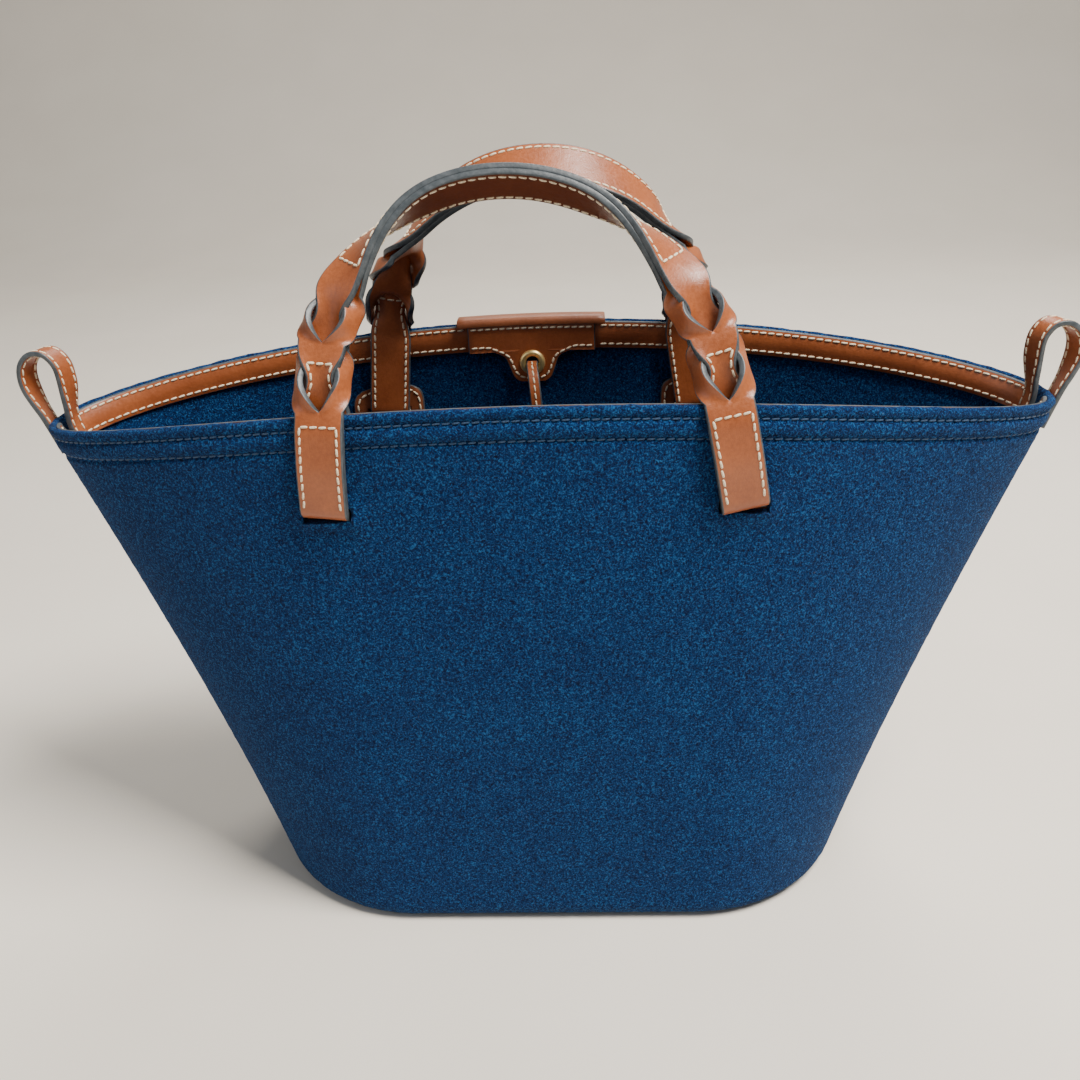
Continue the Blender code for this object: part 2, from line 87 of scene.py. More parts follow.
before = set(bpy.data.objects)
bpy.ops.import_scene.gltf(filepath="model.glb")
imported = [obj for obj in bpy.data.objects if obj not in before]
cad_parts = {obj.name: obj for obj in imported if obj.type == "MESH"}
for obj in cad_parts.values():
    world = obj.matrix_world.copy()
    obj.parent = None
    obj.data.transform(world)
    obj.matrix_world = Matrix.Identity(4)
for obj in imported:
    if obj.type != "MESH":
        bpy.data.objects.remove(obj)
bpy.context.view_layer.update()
PANEL_LOW, PANEL_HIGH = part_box("felt_front_panel")
RIM_WIDTH = PANEL_HIGH.x - PANEL_LOW.x
RIM_HEIGHT = PANEL_HIGH.z


# ---- materials ---------------------------------------------------------------------------------


class Look:
    """A node material under construction: add() places a node and links or sets its inputs."""

    def __init__(self, name):
        self.material = bpy.data.materials.new(name)
        self.material.use_nodes = True
        self.tree = self.material.node_tree
        self.shader = self.tree.nodes["Principled BSDF"]

    def add(self, kind, settings=None, **inputs):
        """Places a node and sets its settings and its input sockets."""
        node = self.tree.nodes.new("ShaderNode" + kind)
        for key, value in (settings or {}).items():
            setattr(node, key, value)
        for key, value in inputs.items():
            self.put(node, key.replace("_", " "), value)
        return node

    def put(self, node, socket, value):
        """Sets a socket to a number or colour, or links it to another node's output socket."""
        target = node.inputs[int(socket) if socket.isdigit() else socket]
        if isinstance(value, bpy.types.NodeSocket):
            self.tree.links.new(value, target)
        else:
            target.default_value = value

    def finish_with(self, **inputs):
        """Sets the shader's inputs and returns the material."""
        for key, value in inputs.items():
            self.put(self.shader, key.replace("_", " "), value)
        return self.material

    def texture(self, kind, scale, source=None, stretch=(1, 1, 1), **inputs):
        """A noise or Voronoi texture in the piece's own coordinates, scale in cells per metre."""
        place = self.add("Mapping", Scale=stretch)
        coordinates = source or self.add("TexCoord").outputs["Object"]
        self.put(place, "Vector", coordinates)
        return self.add(kind, Vector=place.outputs[0], Scale=scale, **inputs)

    def ramp(self, fac, *stops):
        """A colour ramp through (position, colour) stops."""
        node = self.add("ValToRGB", Fac=fac)
        band = node.color_ramp.elements
        while len(band) < len(stops):
            band.new(0.5)
        for element, (position, colour) in zip(band, stops):
            element.position = position
            element.color = (*colour, 1)
        return node.outputs["Color"]

    def grey(self, fac, low, high, from_low=0.0, from_high=1.0):
        """Maps a number from one range to another."""
        node = self.add("MapRange", **{"Value": fac, "From_Min": from_low, "From_Max": from_high})
        node.inputs["To Min"].default_value = low
        node.inputs["To Max"].default_value = high
        return node.outputs["Result"]

    def blend(self, mode, fac, a, b):
        """Mixes two colours."""
        node = self.add("MixRGB", {"blend_type": mode}, Fac=fac, Color1=a, Color2=b)
        return node.outputs["Color"]

    def bump(self, height, distance, strength=1.0, normal=None):
        """Relief from a height, laid over an earlier one's normal if that is given."""
        node = self.add("Bump", Height=height, Distance=distance, Strength=strength)
        if normal is not None:
            self.put(node, "Normal", normal)
        return node.outputs["Normal"]


def felt_material():
    """Blue melange felt: matted dark and light fibres, with a soft sheen."""
    look = Look("blue_felt")
    warp = look.texture("TexNoise", 700, Detail=2.0, Roughness=0.5)
    warped = look.add("VectorMath", {"operation": "MULTIPLY_ADD"})
    look.put(warped, "0", warp.outputs["Color"])
    warped.inputs[1].default_value = (0.0016, 0.0016, 0.0016)
    look.put(warped, "2", look.add("TexCoord").outputs["Object"])
    fibres = look.texture("TexNoise", 1500, warped.outputs[0], Detail=3.0, Roughness=0.65)
    curls = look.texture("TexNoise", 900, warped.outputs[0], Detail=4.0, Roughness=0.7, Distortion=0.8)
    clouds = look.texture("TexNoise", 42, Detail=3.0, Roughness=0.6)
    mixed = look.add("Math", {"operation": "MULTIPLY_ADD"})
    look.put(mixed, "0", fibres.outputs["Fac"])
    mixed.inputs[1].default_value = 0.65
    half = look.add("Math", {"operation": "MULTIPLY"})
    look.put(half, "0", curls.outputs["Fac"])
    half.inputs[1].default_value = 0.35
    look.put(mixed, "2", half.outputs[0])
    colour = look.ramp(
        mixed.outputs[0],
        (0.37, (0.0000, 0.0008, 0.0120)),
        (0.46, (0.0000, 0.0110, 0.0580)),
        (0.53, (0.0004, 0.0290, 0.1250)),
        (0.62, (0.0160, 0.1150, 0.3000)),
    )
    tone = look.ramp(clouds.outputs["Fac"], (0.3, (0.82, 0.86, 0.90)), (0.7, (1.12, 1.10, 1.06)))
    colour = look.blend("MULTIPLY", 1.0, colour, tone)
    hairs = look.texture("TexVoronoi", 480, warped.outputs[0], (1, 1, 0.35), Randomness=1.0)
    speck = look.ramp(hairs.outputs["Distance"], (0.03, (1, 1, 1)), (0.10, (0, 0, 0)))
    colour = look.blend("ADD", 0.05, colour, speck)
    rough = look.bump(mixed.outputs[0], 0.0014, 1.0)
    return look.finish_with(
        Base_Color=colour, Roughness=0.96, Normal=rough, Sheen_Weight=0.06, Sheen_Roughness=0.55,
        Sheen_Tint=(0.35, 0.55, 0.85, 1), Specular_IOR_Level=0.15,
    )


def leather_material(name, base, deep, gloss):
    """Smooth vegetable-tanned leather: fine pores, faint creases across, and an uneven tan."""
    look = Look(name)
    pores = look.texture("TexVoronoi", 2300, Randomness=1.0)
    grain = look.texture("TexNoise", 900, Detail=3.0, Roughness=0.6)
    patches = look.texture("TexNoise", 55, Detail=4.0, Roughness=0.6)
    creases = look.texture("TexNoise", 260, None, (1, 1, 0.3), Detail=2.0, Roughness=0.5, Distortion=0.6)
    colour = look.ramp(patches.outputs["Fac"], (0.30, deep), (0.68, base))
    fleck = look.ramp(grain.outputs["Fac"], (0.35, (0.86, 0.84, 0.82)), (0.65, (1.08, 1.08, 1.08)))
    colour = look.blend("MULTIPLY", 0.8, colour, fleck)
    normal = look.bump(pores.outputs["Distance"], 0.00006, 0.5)
    normal = look.bump(grain.outputs["Fac"], 0.00012, 0.5, normal)
    normal = look.bump(creases.outputs["Fac"], 0.00035, 0.35, normal)
    rough = look.grey(grain.outputs["Fac"], gloss - 0.07, gloss + 0.10, 0.3, 0.7)
    return look.finish_with(
        Base_Color=colour, Roughness=rough, Normal=normal, Coat_Weight=0.12, Coat_Roughness=0.35,
        Specular_IOR_Level=0.5,
    )


def edge_material():
    """The painted cut edge of the leather: grey blue, slightly uneven, satin."""
    look = Look("edge_paint")
    wear = look.texture("TexNoise", 420, Detail=3.0, Roughness=0.6)
    colour = look.ramp(wear.outputs["Fac"], (0.30, (0.034, 0.043, 0.050)), (0.70, (0.078, 0.090, 0.100)))
    normal = look.bump(wear.outputs["Fac"], 0.0003, 0.5)
    return look.finish_with(Base_Color=colour, Roughness=0.42, Normal=normal, Specular_IOR_Level=0.5)


def thread_material(name, light, dark):
    """Twisted thread, in fine turns across each stitch."""
    look = Look(name)
    twist = look.texture("TexNoise", 2600, Detail=2.0, Roughness=0.6)
    colour = look.ramp(twist.outputs["Fac"], (0.35, dark), (0.60, light))
    normal = look.bump(twist.outputs["Fac"], 0.00015, 0.8)
    return look.finish_with(Base_Color=colour, Roughness=0.75, Normal=normal, Sheen_Weight=0.2)


def brass_material():
    """Polished pale brass with faint handling marks."""
    look = Look("brass")
    marks = look.texture("TexNoise", 900, None, (1, 1, 0.2), Detail=3.0, Roughness=0.6)
    colour = look.ramp(marks.outputs["Fac"], (0.3, (0.86, 0.62, 0.22)), (0.7, (1.00, 0.80, 0.38)))
    rough = look.grey(marks.outputs["Fac"], 0.30, 0.42)
    normal = look.bump(marks.outputs["Fac"], 0.00004, 0.5)
    return look.finish_with(Base_Color=colour, Metallic=0.85, Roughness=rough, Normal=normal)


def floor_material():
    """A matt warm white with a very faint unevenness."""
    look = Look("pale_floor")
    grain = look.texture("TexNoise", 9, Detail=3.0, Roughness=0.5)
    colour = look.ramp(grain.outputs["Fac"], (0.3, (0.800, 0.740, 0.650)), (0.7, (0.830, 0.770, 0.680)))
    return look.finish_with(Base_Color=colour, Roughness=0.7, Specular_IOR_Level=0.2)


FELT_LOOK = felt_material()
LEATHER = leather_material("tan_leather", (0.350, 0.098, 0.030), (0.255, 0.066, 0.019), 0.36)
# A darker leather: the slot patches' lining, and painted shade on the rim cap.
LINING_AND_SHADE = leather_material("lining_leather", (0.270, 0.080, 0.027), (0.200, 0.056, 0.019), 0.42)
# Leather darkened as painted shade, for the underside of the grip that the light does not reach.
SHADED = leather_material("painted_shade_leather", (0.130, 0.034, 0.010), (0.090, 0.022, 0.006), 0.42)
EDGE = edge_material()
CREAM = thread_material("cream_thread", (0.880, 0.760, 0.560), (0.600, 0.470, 0.300))
NAVY = thread_material("navy_thread", (0.012, 0.060, 0.150), (0.003, 0.020, 0.060))
BRASS = brass_material()


# ---- meshes ------------------------------------------------------------------------------------


def add_piece(name, mesh_data, looks, sharp=45.0, merge=2e-6):
    """Puts a bmesh into the scene as one smooth-shaded object with its faces pointing out."""
    if merge:
        bmesh.ops.remove_doubles(mesh_data, verts=mesh_data.verts, dist=merge)
        bmesh.ops.dissolve_degenerate(mesh_data, edges=mesh_data.edges, dist=merge / 2)
    bmesh.ops.recalc_face_normals(mesh_data, faces=mesh_data.faces)
    mesh = bpy.data.meshes.new(name)
    mesh_data.to_mesh(mesh)
    mesh_data.free()
    for look in looks:
        mesh.materials.append(look)
    mesh.shade_smooth()
    mesh.set_sharp_from_angle(angle=math.radians(sharp))
    made = bpy.data.objects.new(name, mesh)
    bpy.context.scene.collection.objects.link(made)
    return made


def turned(piece, is_back):
    """Turns a piece made for the front half round to the back."""
    if is_back:
        piece.data.transform(HALF_TURN)
    return piece


def add_thread(name, mesh_data, is_back=False, look=CREAM):
    """Puts a bmesh of stitches into the scene."""
    return turned(add_piece(name, mesh_data, [look], sharp=80, merge=0), is_back)


def thick_grid(made, near, far, present=None, painted=True):
    """Adds the closed solid between two equal grids of points. present says which cells are there.

    If painted, the faces on the border and the far grid's outermost cells get the second material."""
    rows, columns = len(near), len(near[0])
    grids = [[[made.verts.new(p) for p in row] for row in grid] for grid in (near, far)]
    here = np.ones((rows - 1, columns - 1), bool) if present is None else present
    padded = np.pad(here, 1)
    for r, c in zip(*np.nonzero(here)):
        for which, grid in enumerate(grids):
            face = made.faces.new((grid[r][c], grid[r][c + 1], grid[r + 1][c + 1], grid[r + 1][c]))
            if painted and which and min(r, c, rows - 2 - r, columns - 2 - c) == 0:
                face.material_index = 1
        sides = (((r, c), (r, c + 1), padded[r, c + 1]), ((r, c + 1), (r + 1, c + 1), padded[r + 1, c + 2]),
                 ((r + 1, c + 1), (r + 1, c), padded[r + 2, c + 1]), ((r + 1, c), (r, c), padded[r + 1, c]))
        for (r0, c0), (r1, c1), neighbour in sides:
            if not neighbour:
                corners = (grids[0][r0][c0], grids[0][r1][c1], grids[1][r1][c1], grids[1][r0][c0])
                made.faces.new(corners).material_index = int(painted)
    return made


def join_rings(made, pairs, painted=()):
    """Adds the faces between pairs of closed rings. painted lists the places with the second material."""
    for first, second in pairs:
        for k in range(len(first)):
            after = (k + 1) % len(first)
            face = made.faces.new((first[k], first[after], second[after], second[k]))
            face.material_index = int(k in painted)


def graded(stops, step):
    """Rising values through every stop, no further apart than step."""
    values = [stops[0]]
    for a, b in zip(stops, stops[1:]):
        count = max(1, math.ceil((b - a) / step - 1e-6))
        values += [a + (b - a) * k / count for k in range(1, count + 1)]
    return np.array(values)


def smooth_step(low, high, value):
    share = np.clip((value - low) / (high - low), 0, 1)
    return share * share * (3 - 2 * share)


def blurred(values, step, width):
    """A row of numbers or points, smoothed along its length by a bell of that width."""
    reach = max(1, int(3 * width / step))
    bell = np.exp(-0.5 * (np.arange(-reach, reach + 1) * step / width) ** 2)
    bell /= bell.sum()
    values = np.asarray(values, float)
    flat = values.reshape(len(values), -1)
    padded = np.pad(flat, ((reach, reach), (0, 0)), mode="reflect", reflect_type="odd")
    mixed = np.stack([np.convolve(column, bell, "valid") for column in padded.T], axis=1)
    return mixed.reshape(values.shape)


# ---- the felt wall's surface -------------------------------------------------------------------

QUARTER = 160  # points along a quarter of the wall's outline
RIM_SAMPLES, ARC_SAMPLES, ARCH_SAMPLES = 3000, 400, 4000  # points on a curve before it is evenly divided
SEAM = 0.2 * MM  # how far each half of the wall reaches past the middle at the ends, to close the seam


def evenly(points, count):
    """Divides a flat line of points into count stretches of the same length."""
    points = np.array(points)
    along = np.concatenate([[0], np.cumsum(np.hypot(*np.diff(points, axis=0).T))])
    wanted = np.linspace(0, along[-1], count + 1)
    return np.stack([np.interp(wanted, along, points[:, k]) for k in (0, 1)], axis=1)


def rim_quarter():
    """A quarter of the rim's superellipse, from the front's middle round to the +X end."""
    angles = np.linspace(0, math.pi / 2, RIM_SAMPLES)
    x = RIM_WIDTH / 2 * np.sin(angles) ** (2 / RIM_POWER)
    y = -RIM_DEPTH / 2 * np.abs(np.cos(angles)) ** (2 / RIM_POWER)
    return evenly(np.stack([x, y], axis=1), QUARTER)


def base_quarter():
    """A quarter of the base's outline: a straight stretch, then a quarter circle."""
    radius = BASE_DEPTH / 2
    straight = BASE_LENGTH / 2 - radius
    angles = np.linspace(-math.pi / 2, 0, ARC_SAMPLES)
    arc = [(straight + radius * math.cos(a), radius * math.sin(a)) for a in angles]
    return evenly([(0, -radius), *arc], QUARTER)


RIM_QUARTER = rim_quarter()
BASE_QUARTER = base_quarter()


def closed_loop(height):
    """The whole outline at a height fraction (0 base, 1 rim), counter-clockwise from the -X end."""
    quarter = BASE_QUARTER * (1 - height) + RIM_QUARTER * height
    front = np.concatenate([quarter[:0:-1] * (-1, 1), quarter[:-1]])
    return np.concatenate([front, -front])


def front_line(height, inset):
    """The outline's front half from the -X end to the +X end, moved in by inset."""
    loop = closed_loop(height)
    tangent = np.roll(loop, -1, axis=0) - np.roll(loop, 1, axis=0)
    inward = np.stack([-tangent[:, 1], tangent[:, 0]], axis=1)
    inward /= np.linalg.norm(inward, axis=1)[:, None]
    line = (loop + inward * inset)[: 2 * QUARTER + 1]
    line[:, 1] = np.minimum(line[:, 1], SEAM)
    line[[0, -1], 1] = SEAM
    return line


def rim_z(x):
    """The rim's height at x: highest in the middle and falling towards the ends."""
    return RIM_HEIGHT - RIM_CROWN * (2 * x / RIM_WIDTH) ** 2


LOW_SHARE = BOTTOM_RADIUS / RIM_HEIGHT


def height_at(x, z):
    """The height fraction of a point of the wall."""
    return LOW_SHARE + (1 - LOW_SHARE) * (z - BOTTOM_RADIUS) / (rim_z(x) - BOTTOM_RADIUS)


def wall_row(height, inset, share):
    """Points of the wall at a height fraction, at shares 0 to 1 of the way from the -X to the +X end."""
    line = front_line(height, inset)
    outer = front_line(height, 0)
    index = np.asarray(share) * 2 * QUARTER
    steps = np.arange(2 * QUARTER + 1)
    x, y = (np.interp(index, steps, line[:, k]) for k in (0, 1))
    outer_x = np.interp(index, steps, outer[:, 0])
    rise = (height - LOW_SHARE) / (1 - LOW_SHARE)
    z = BOTTOM_RADIUS + (rim_z(outer_x) - BOTTOM_RADIUS) * rise
    return np.stack([x, y, z], axis=1)


def wall_point(x, z, inset):
    """The point of the front wall at x and z, moved in by inset from its outer face."""
    line = front_line(height_at(x, z), inset)
    return Vector((x, float(np.interp(x, line[:, 0], line[:, 1])), z))


def share_at(x, z):
    """How far along the wall's outline a point at x and z lies, from 0 to 1."""
    line = front_line(height_at(x, z), 0)
    return float(np.interp(x, line[:, 0], np.linspace(0, 1, len(line))))


# ---- the felt body -----------------------------------------------------------------------------

HALF_RIM = 0.42  # roughly how long the wall's outline is from end to end, to turn steps into shares of it
HEM_ROWS = (4.5 * MM, 11.5 * MM)  # how far below the rim the two rows of tonal stitching run
HEM_PINCH, HEM_PINCH_WIDTH = 1.25 * MM, 1.05 * MM  # the grooves that the stitches draw in
HEM_WAVE = 0.28  # how much a groove's depth varies from stitch to stitch
HEM_PUFF, HEM_PUFF_WIDTH = 0.45 * MM, 2.4 * MM  # the swell between the two rows
MAT_COARSE, MAT_COARSE_CELLS = 0.16 * MM, 420  # the felt's unevenness, and how many to the metre
MAT_FINE, MAT_FINE_CELLS = 0.10 * MM, 900
RAW_EDGE, RAW_EDGE_CELLS = 0.35 * MM, 240  # the unevenness of the cut top edge
SLOT_HALF_WIDTH = STRAP_WIDTH / 2 + SLOT_PLAY
SLOT_HALF_HEIGHT = STRAP_DOUBLE / 2 + SLOT_PLAY
# How far the felt is pushed out round a slot: over it, under it, and at its ends.
LIP_OVER, LIP_UNDER = 0.6 * MM, 1.6 * MM
LIP_INNER_END, LIP_OUTER_END = 1.9 * MM, 0.9 * MM
LIP_REACH = 3.4 * MM


def felt_relief(point, drop, outside):
    """How far the felt's face stands out of its smooth shape at a point, drop below the rim."""
    mat = MAT_COARSE * noise.noise(point * MAT_COARSE_CELLS) + MAT_FINE * noise.noise(point * MAT_FINE_CELLS)
    if not outside:
        return mat
    pinch = 0.0
    for row in HEM_ROWS:
        stitch = 1 - HEM_WAVE + HEM_WAVE * math.cos(2 * math.pi * point.x / STITCH_PITCH)
        pinch += HEM_PINCH * stitch * math.exp(-(((drop - row) / HEM_PINCH_WIDTH) ** 2))
    puff = HEM_PUFF * math.exp(-(((drop - sum(HEM_ROWS) / 2) / HEM_PUFF_WIDTH) ** 2))
    return mat + puff - pinch


def slot_lip(side, x, z):
    """How far the felt is pushed out round a handle slot: over it, and more towards the bag's middle."""
    lift = 0.0
    for centre in HANDLES[side]["slots"]:
        across = max(0.0, abs(x - centre) - SLOT_HALF_WIDTH)
        up = z - SLOT_Z
        beyond = math.hypot(across, max(0.0, abs(up) - SLOT_HALF_HEIGHT))
        towards_middle = (centre - x) * math.copysign(1, centre) > 0
        height = LIP_OVER if up > -SLOT_HALF_HEIGHT else LIP_UNDER
        if across > 0:
            height = LIP_INNER_END if towards_middle else LIP_OUTER_END
        lift += height * math.exp(-((beyond / LIP_REACH) ** 2))
    return lift


def panel_shares(side, step):
    """Column positions along the wall, with a column on each side of each slot."""
    stops = [0.0]
    for centre in HANDLES[side]["slots"]:
        stops += [share_at(centre - SLOT_HALF_WIDTH, SLOT_Z), share_at(centre + SLOT_HALF_WIDTH, SLOT_Z)]
    return graded([*stops, 1.0], step)


FOOT_LEVELS = (0.0, 0.9 * MM, 2.2 * MM, 3.8 * MM, 5.4 * MM)  # heights of the rows round the bottom turn
FOOT_CURL = 6.0 * MM  # how far the foot turns in under the wall at most
HEM_DEPTH = 16 * MM  # how far down from the rim the finest rows reach
# Steps between rows, in the plain wall, between the slots and the hem, and in the hem.
WALL_STEP, SLOT_STEP, HEM_STEP = 2.4 * MM, 1.2 * MM, 0.5 * MM
SLOT_BELOW, SLOT_ABOVE = 0.04, 0.03  # height fractions next to the slots with evenly spaced rows
COLUMN_STEP = 1.4 * MM
RELIEF_FADE = 4  # columns over which the felt's relief dies out towards the end seams
ROUND_TURNS = (30, 60, 90)  # degrees round the wall's top edge


def panel_levels():
    """Row heights of the wall as (height fraction, inset of the outer face), from floor to rim."""
    levels = []
    for z in FOOT_LEVELS:
        curl = BOTTOM_RADIUS - math.sqrt(BOTTOM_RADIUS**2 - (BOTTOM_RADIUS - z) ** 2)
        levels.append((z / RIM_HEIGHT, min(curl, FOOT_CURL)))
    slot_x = HANDLES["front"]["slots"][1]
    slot_low, slot_high = (height_at(slot_x, SLOT_Z + s * SLOT_HALF_HEIGHT) for s in (-1, 1))
    hem = 1 - HEM_DEPTH / RIM_HEIGHT
    top = 1 - FELT / 2 / RIM_HEIGHT
    coarse = graded([LOW_SHARE, slot_low - SLOT_BELOW, slot_low], WALL_STEP / RIM_HEIGHT)
    middle = graded([slot_low, slot_high, slot_high + SLOT_ABOVE, hem], SLOT_STEP / RIM_HEIGHT)[1:]
    fine = graded([hem, top], HEM_STEP / RIM_HEIGHT)[1:]
    return levels + [(h, 0.0) for h in [*coarse, *middle, *fine]], (slot_low, slot_high)


def make_panel(side, is_back):
    """Half of the felt wall, with its rounded raw top, sewn hem, curled foot and two handle slots."""
    shares = panel_shares(side, COLUMN_STEP / HALF_RIM)
    levels, (slot_low, slot_high) = panel_levels()
    grids = []
    for outside in (True, False):
        grid = []
        for height, curl in levels:
            inset = curl if outside else curl + FELT
            row = wall_row(height, inset, shares)
            if curl > 0:
                row[:, 2] = height * RIM_HEIGHT + (0 if outside else FELT * curl / BOTTOM_RADIUS)
            grid.append(row)
        for turn in ROUND_TURNS:
            radius = FELT / 2
            shift = radius * (1 - math.cos(math.radians(turn)))
            row = wall_row(levels[-1][0], shift if outside else FELT - shift, shares)
            row[:, 2] += radius * math.sin(math.radians(turn))
            grid.append(row)
        grids.append(np.array(grid))
    outer, inner = grids
    out = outer - inner
    out[-1] = outer[-4] - inner[-4]
    out /= np.linalg.norm(out, axis=2)[:, :, None]
    rows, columns = outer.shape[:2]
    for r in range(rows - 3):
        for c in range(columns):
            x, z = outer[r, c, 0], outer[r, c, 2]
            drop = rim_z(x) - z
            away = min(1.0, min(c, columns - 1 - c) / RELIEF_FADE)
            relief = felt_relief(Vector(outer[r, c]), drop, True) + slot_lip(side, x, z)
            outer[r, c] += out[r, c] * relief * away
            inner[r, c] -= out[r, c] * felt_relief(Vector(inner[r, c]), drop, False) * away
    for r in range(rows - 3, rows):
        for c in range(1, columns - 1):
            lift = RAW_EDGE * noise.noise(Vector(outer[r, c]) * RAW_EDGE_CELLS)
            outer[r, c, 2] += lift
            inner[r, c, 2] += lift
    present = np.ones((rows - 1, columns - 1), bool)
    heights = [h for h, _ in levels]
    for r, (low, high) in enumerate(zip(heights, heights[1:])):
        if low > slot_low - 1e-6 and high < slot_high + 1e-6:
            for centre in HANDLES[side]["slots"]:
                first = share_at(centre - SLOT_HALF_WIDTH, SLOT_Z) - 1e-6
                last = share_at(centre + SLOT_HALF_WIDTH, SLOT_Z) + 1e-6
                inside = (shares[:-1] > first) & (shares[1:] < last)
                present[r, inside] = False
    made = thick_grid(bmesh.new(), outer, inner, present, painted=False)
    panel = turned(add_piece(f"{side}_felt", made, [FELT_LOOK], sharp=60), is_back)
    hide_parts(f"felt_{side}_panel")
    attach(panel, "bag")


# The base's rings: how far in from the wall's outer face, and the heights of its top and its underside.
BASE_RINGS = (
    (7.9 * MM, 2.9 * MM, 2.7 * MM), (9.4 * MM, 3.2 * MM, 2.7 * MM), (9.8 * MM, 3.2 * MM, 0.4 * MM),
    (16 * MM, 3.1 * MM, 0.1 * MM), (34 * MM, 3.1 * MM, 0.1 * MM), (50 * MM, 3.2 * MM, 0.1 * MM),
)
BASE_STRIDE = 4  # the base takes every fourth point of the wall's outline


def make_base():
    """The flat oval of felt inside the foot of the wall, with a thin lip that lies on the foot."""
    rings = []
    for inset, top, bottom in BASE_RINGS:
        front = front_line(0, inset)[::BASE_STRIDE]
        loop = np.concatenate([front[:-1], -front[:-1]])
        rings.append((loop, top, bottom))
    made = bmesh.new()
    layers = []
    for k in (1, 2):
        layers.append([[made.verts.new((x, y, ring[k])) for x, y in ring[0]] for ring in rings])
    for layer in layers:
        join_rings(made, zip(layer, layer[1:]))
        made.faces.new(layer[-1])
    join_rings(made, [(layers[0][0], layers[1][0])])
    base = add_piece("base_felt", made, [FELT_LOOK], sharp=60)
    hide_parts("felt_base_panel")
    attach(base, "bag")


# ---- stitches ----------------------------------------------------------------------------------

STITCH_RADIUS = 0.42 * MM
STITCH_LENGTH = 2.65 * MM
STITCH_SIDES = 8
# A stitch's rings: how far along its half length each is, and how thick it is there.
STITCH_RINGS = ((-1.0, 0.35), (-0.86, 0.8), (-0.5, 1.0), (0.0, 1.05), (0.5, 1.0), (0.86, 0.8), (1.0, 0.35))
STITCH_FLAT = 0.8  # a stitch's height for its width
STITCH_RISE, STITCH_SINK = 0.35, 0.1  # how far its rings' centres lie above the surface, for its radius
STITCH_SLANT = 0.10


def add_stitch(made, middle, along, out, length, radius):
    """One stitch: a capsule half sunk in the surface, flattened a little."""
    across = out.cross(along).normalized()
    out = along.cross(across).normalized()
    rings = []
    for share, size in STITCH_RINGS:
        centre = middle + along * (length / 2 * share) + out * (radius * (STITCH_RISE * size - STITCH_SINK))
        ring = []
        for k in range(STITCH_SIDES):
            turn = 2 * math.pi * k / STITCH_SIDES
            aside = across * (radius * size * math.cos(turn))
            ring.append(made.verts.new(centre + aside + out * (STITCH_FLAT * radius * size * math.sin(turn))))
        rings.append(ring)
    join_rings(made, zip(rings, rings[1:]))
    made.faces.new(rings[0])
    made.faces.new(rings[-1])


def sew(made, points, normals, pitch=STITCH_PITCH, radius=STITCH_RADIUS, slant=STITCH_SLANT):
    """Lays stitches end to end along a line of points on a surface, each a little slanted."""
    points = np.array(points, float)
    normals = np.array(normals, float)
    along = np.concatenate([[0], np.cumsum(np.linalg.norm(np.diff(points, axis=0), axis=1))])
    count = max(1, round(along[-1] / pitch))
    step = along[-1] / count
    reach = STITCH_LENGTH / STITCH_PITCH * step / 2
    for k in range(count):
        middle = (k + 0.5) * step
        places = (middle - reach, middle + reach)
        ends = [Vector([np.interp(place, along, points[:, a]) for a in range(3)]) for place in places]
        out = Vector([np.interp(middle, along, normals[:, a]) for a in range(3)]).normalized()
        direction = ends[1] - ends[0]
        size = direction.length
        direction = (direction.normalized() + out.cross(direction.normalized()) * slant).normalized()
        add_stitch(made, (ends[0] + ends[1]) / 2, direction, out, size, radius)


def sew_along(made, line, **how):
    """Sews along a line of (point, normal) pairs."""
    sew(made, [point for point, _ in line], [normal for _, normal in line], **how)


# ---- straps ------------------------------------------------------------------------------------

CORNER = 0.55 * MM  # the rounding of a strap's edges
COLUMNS = (0.0, 0.12, 0.4, 0.7, 0.9, 1.0)  # where a half strap's points lie from its middle to its edge


class Spine:
    """A strap's line and its frames by distance: along (T), across (W) and out (O), with W x T = O."""

    def __init__(self, distance, points, across):
        self.distance = np.asarray(distance, float)
        self.points = np.asarray(points, float)
        along = np.gradient(self.points, self.distance, axis=0)
        self.along = along / np.linalg.norm(along, axis=1)[:, None]
        across = np.asarray(across, float)
        across = across - self.along * (across * self.along).sum(1)[:, None]
        self.across = across / np.linalg.norm(across, axis=1)[:, None]
        self.out = np.cross(self.across, self.along)

    def at(self, s):
        """(point, across, along, out) at a distance, as vectors."""
        found = []
        for rows in (self.points, self.across, self.along, self.out):
            found.append(Vector([float(np.interp(s, self.distance, rows[:, k])) for k in range(3)]))
        point, across, along, out = found
        return point, across.normalized(), along.normalized(), out.normalized()


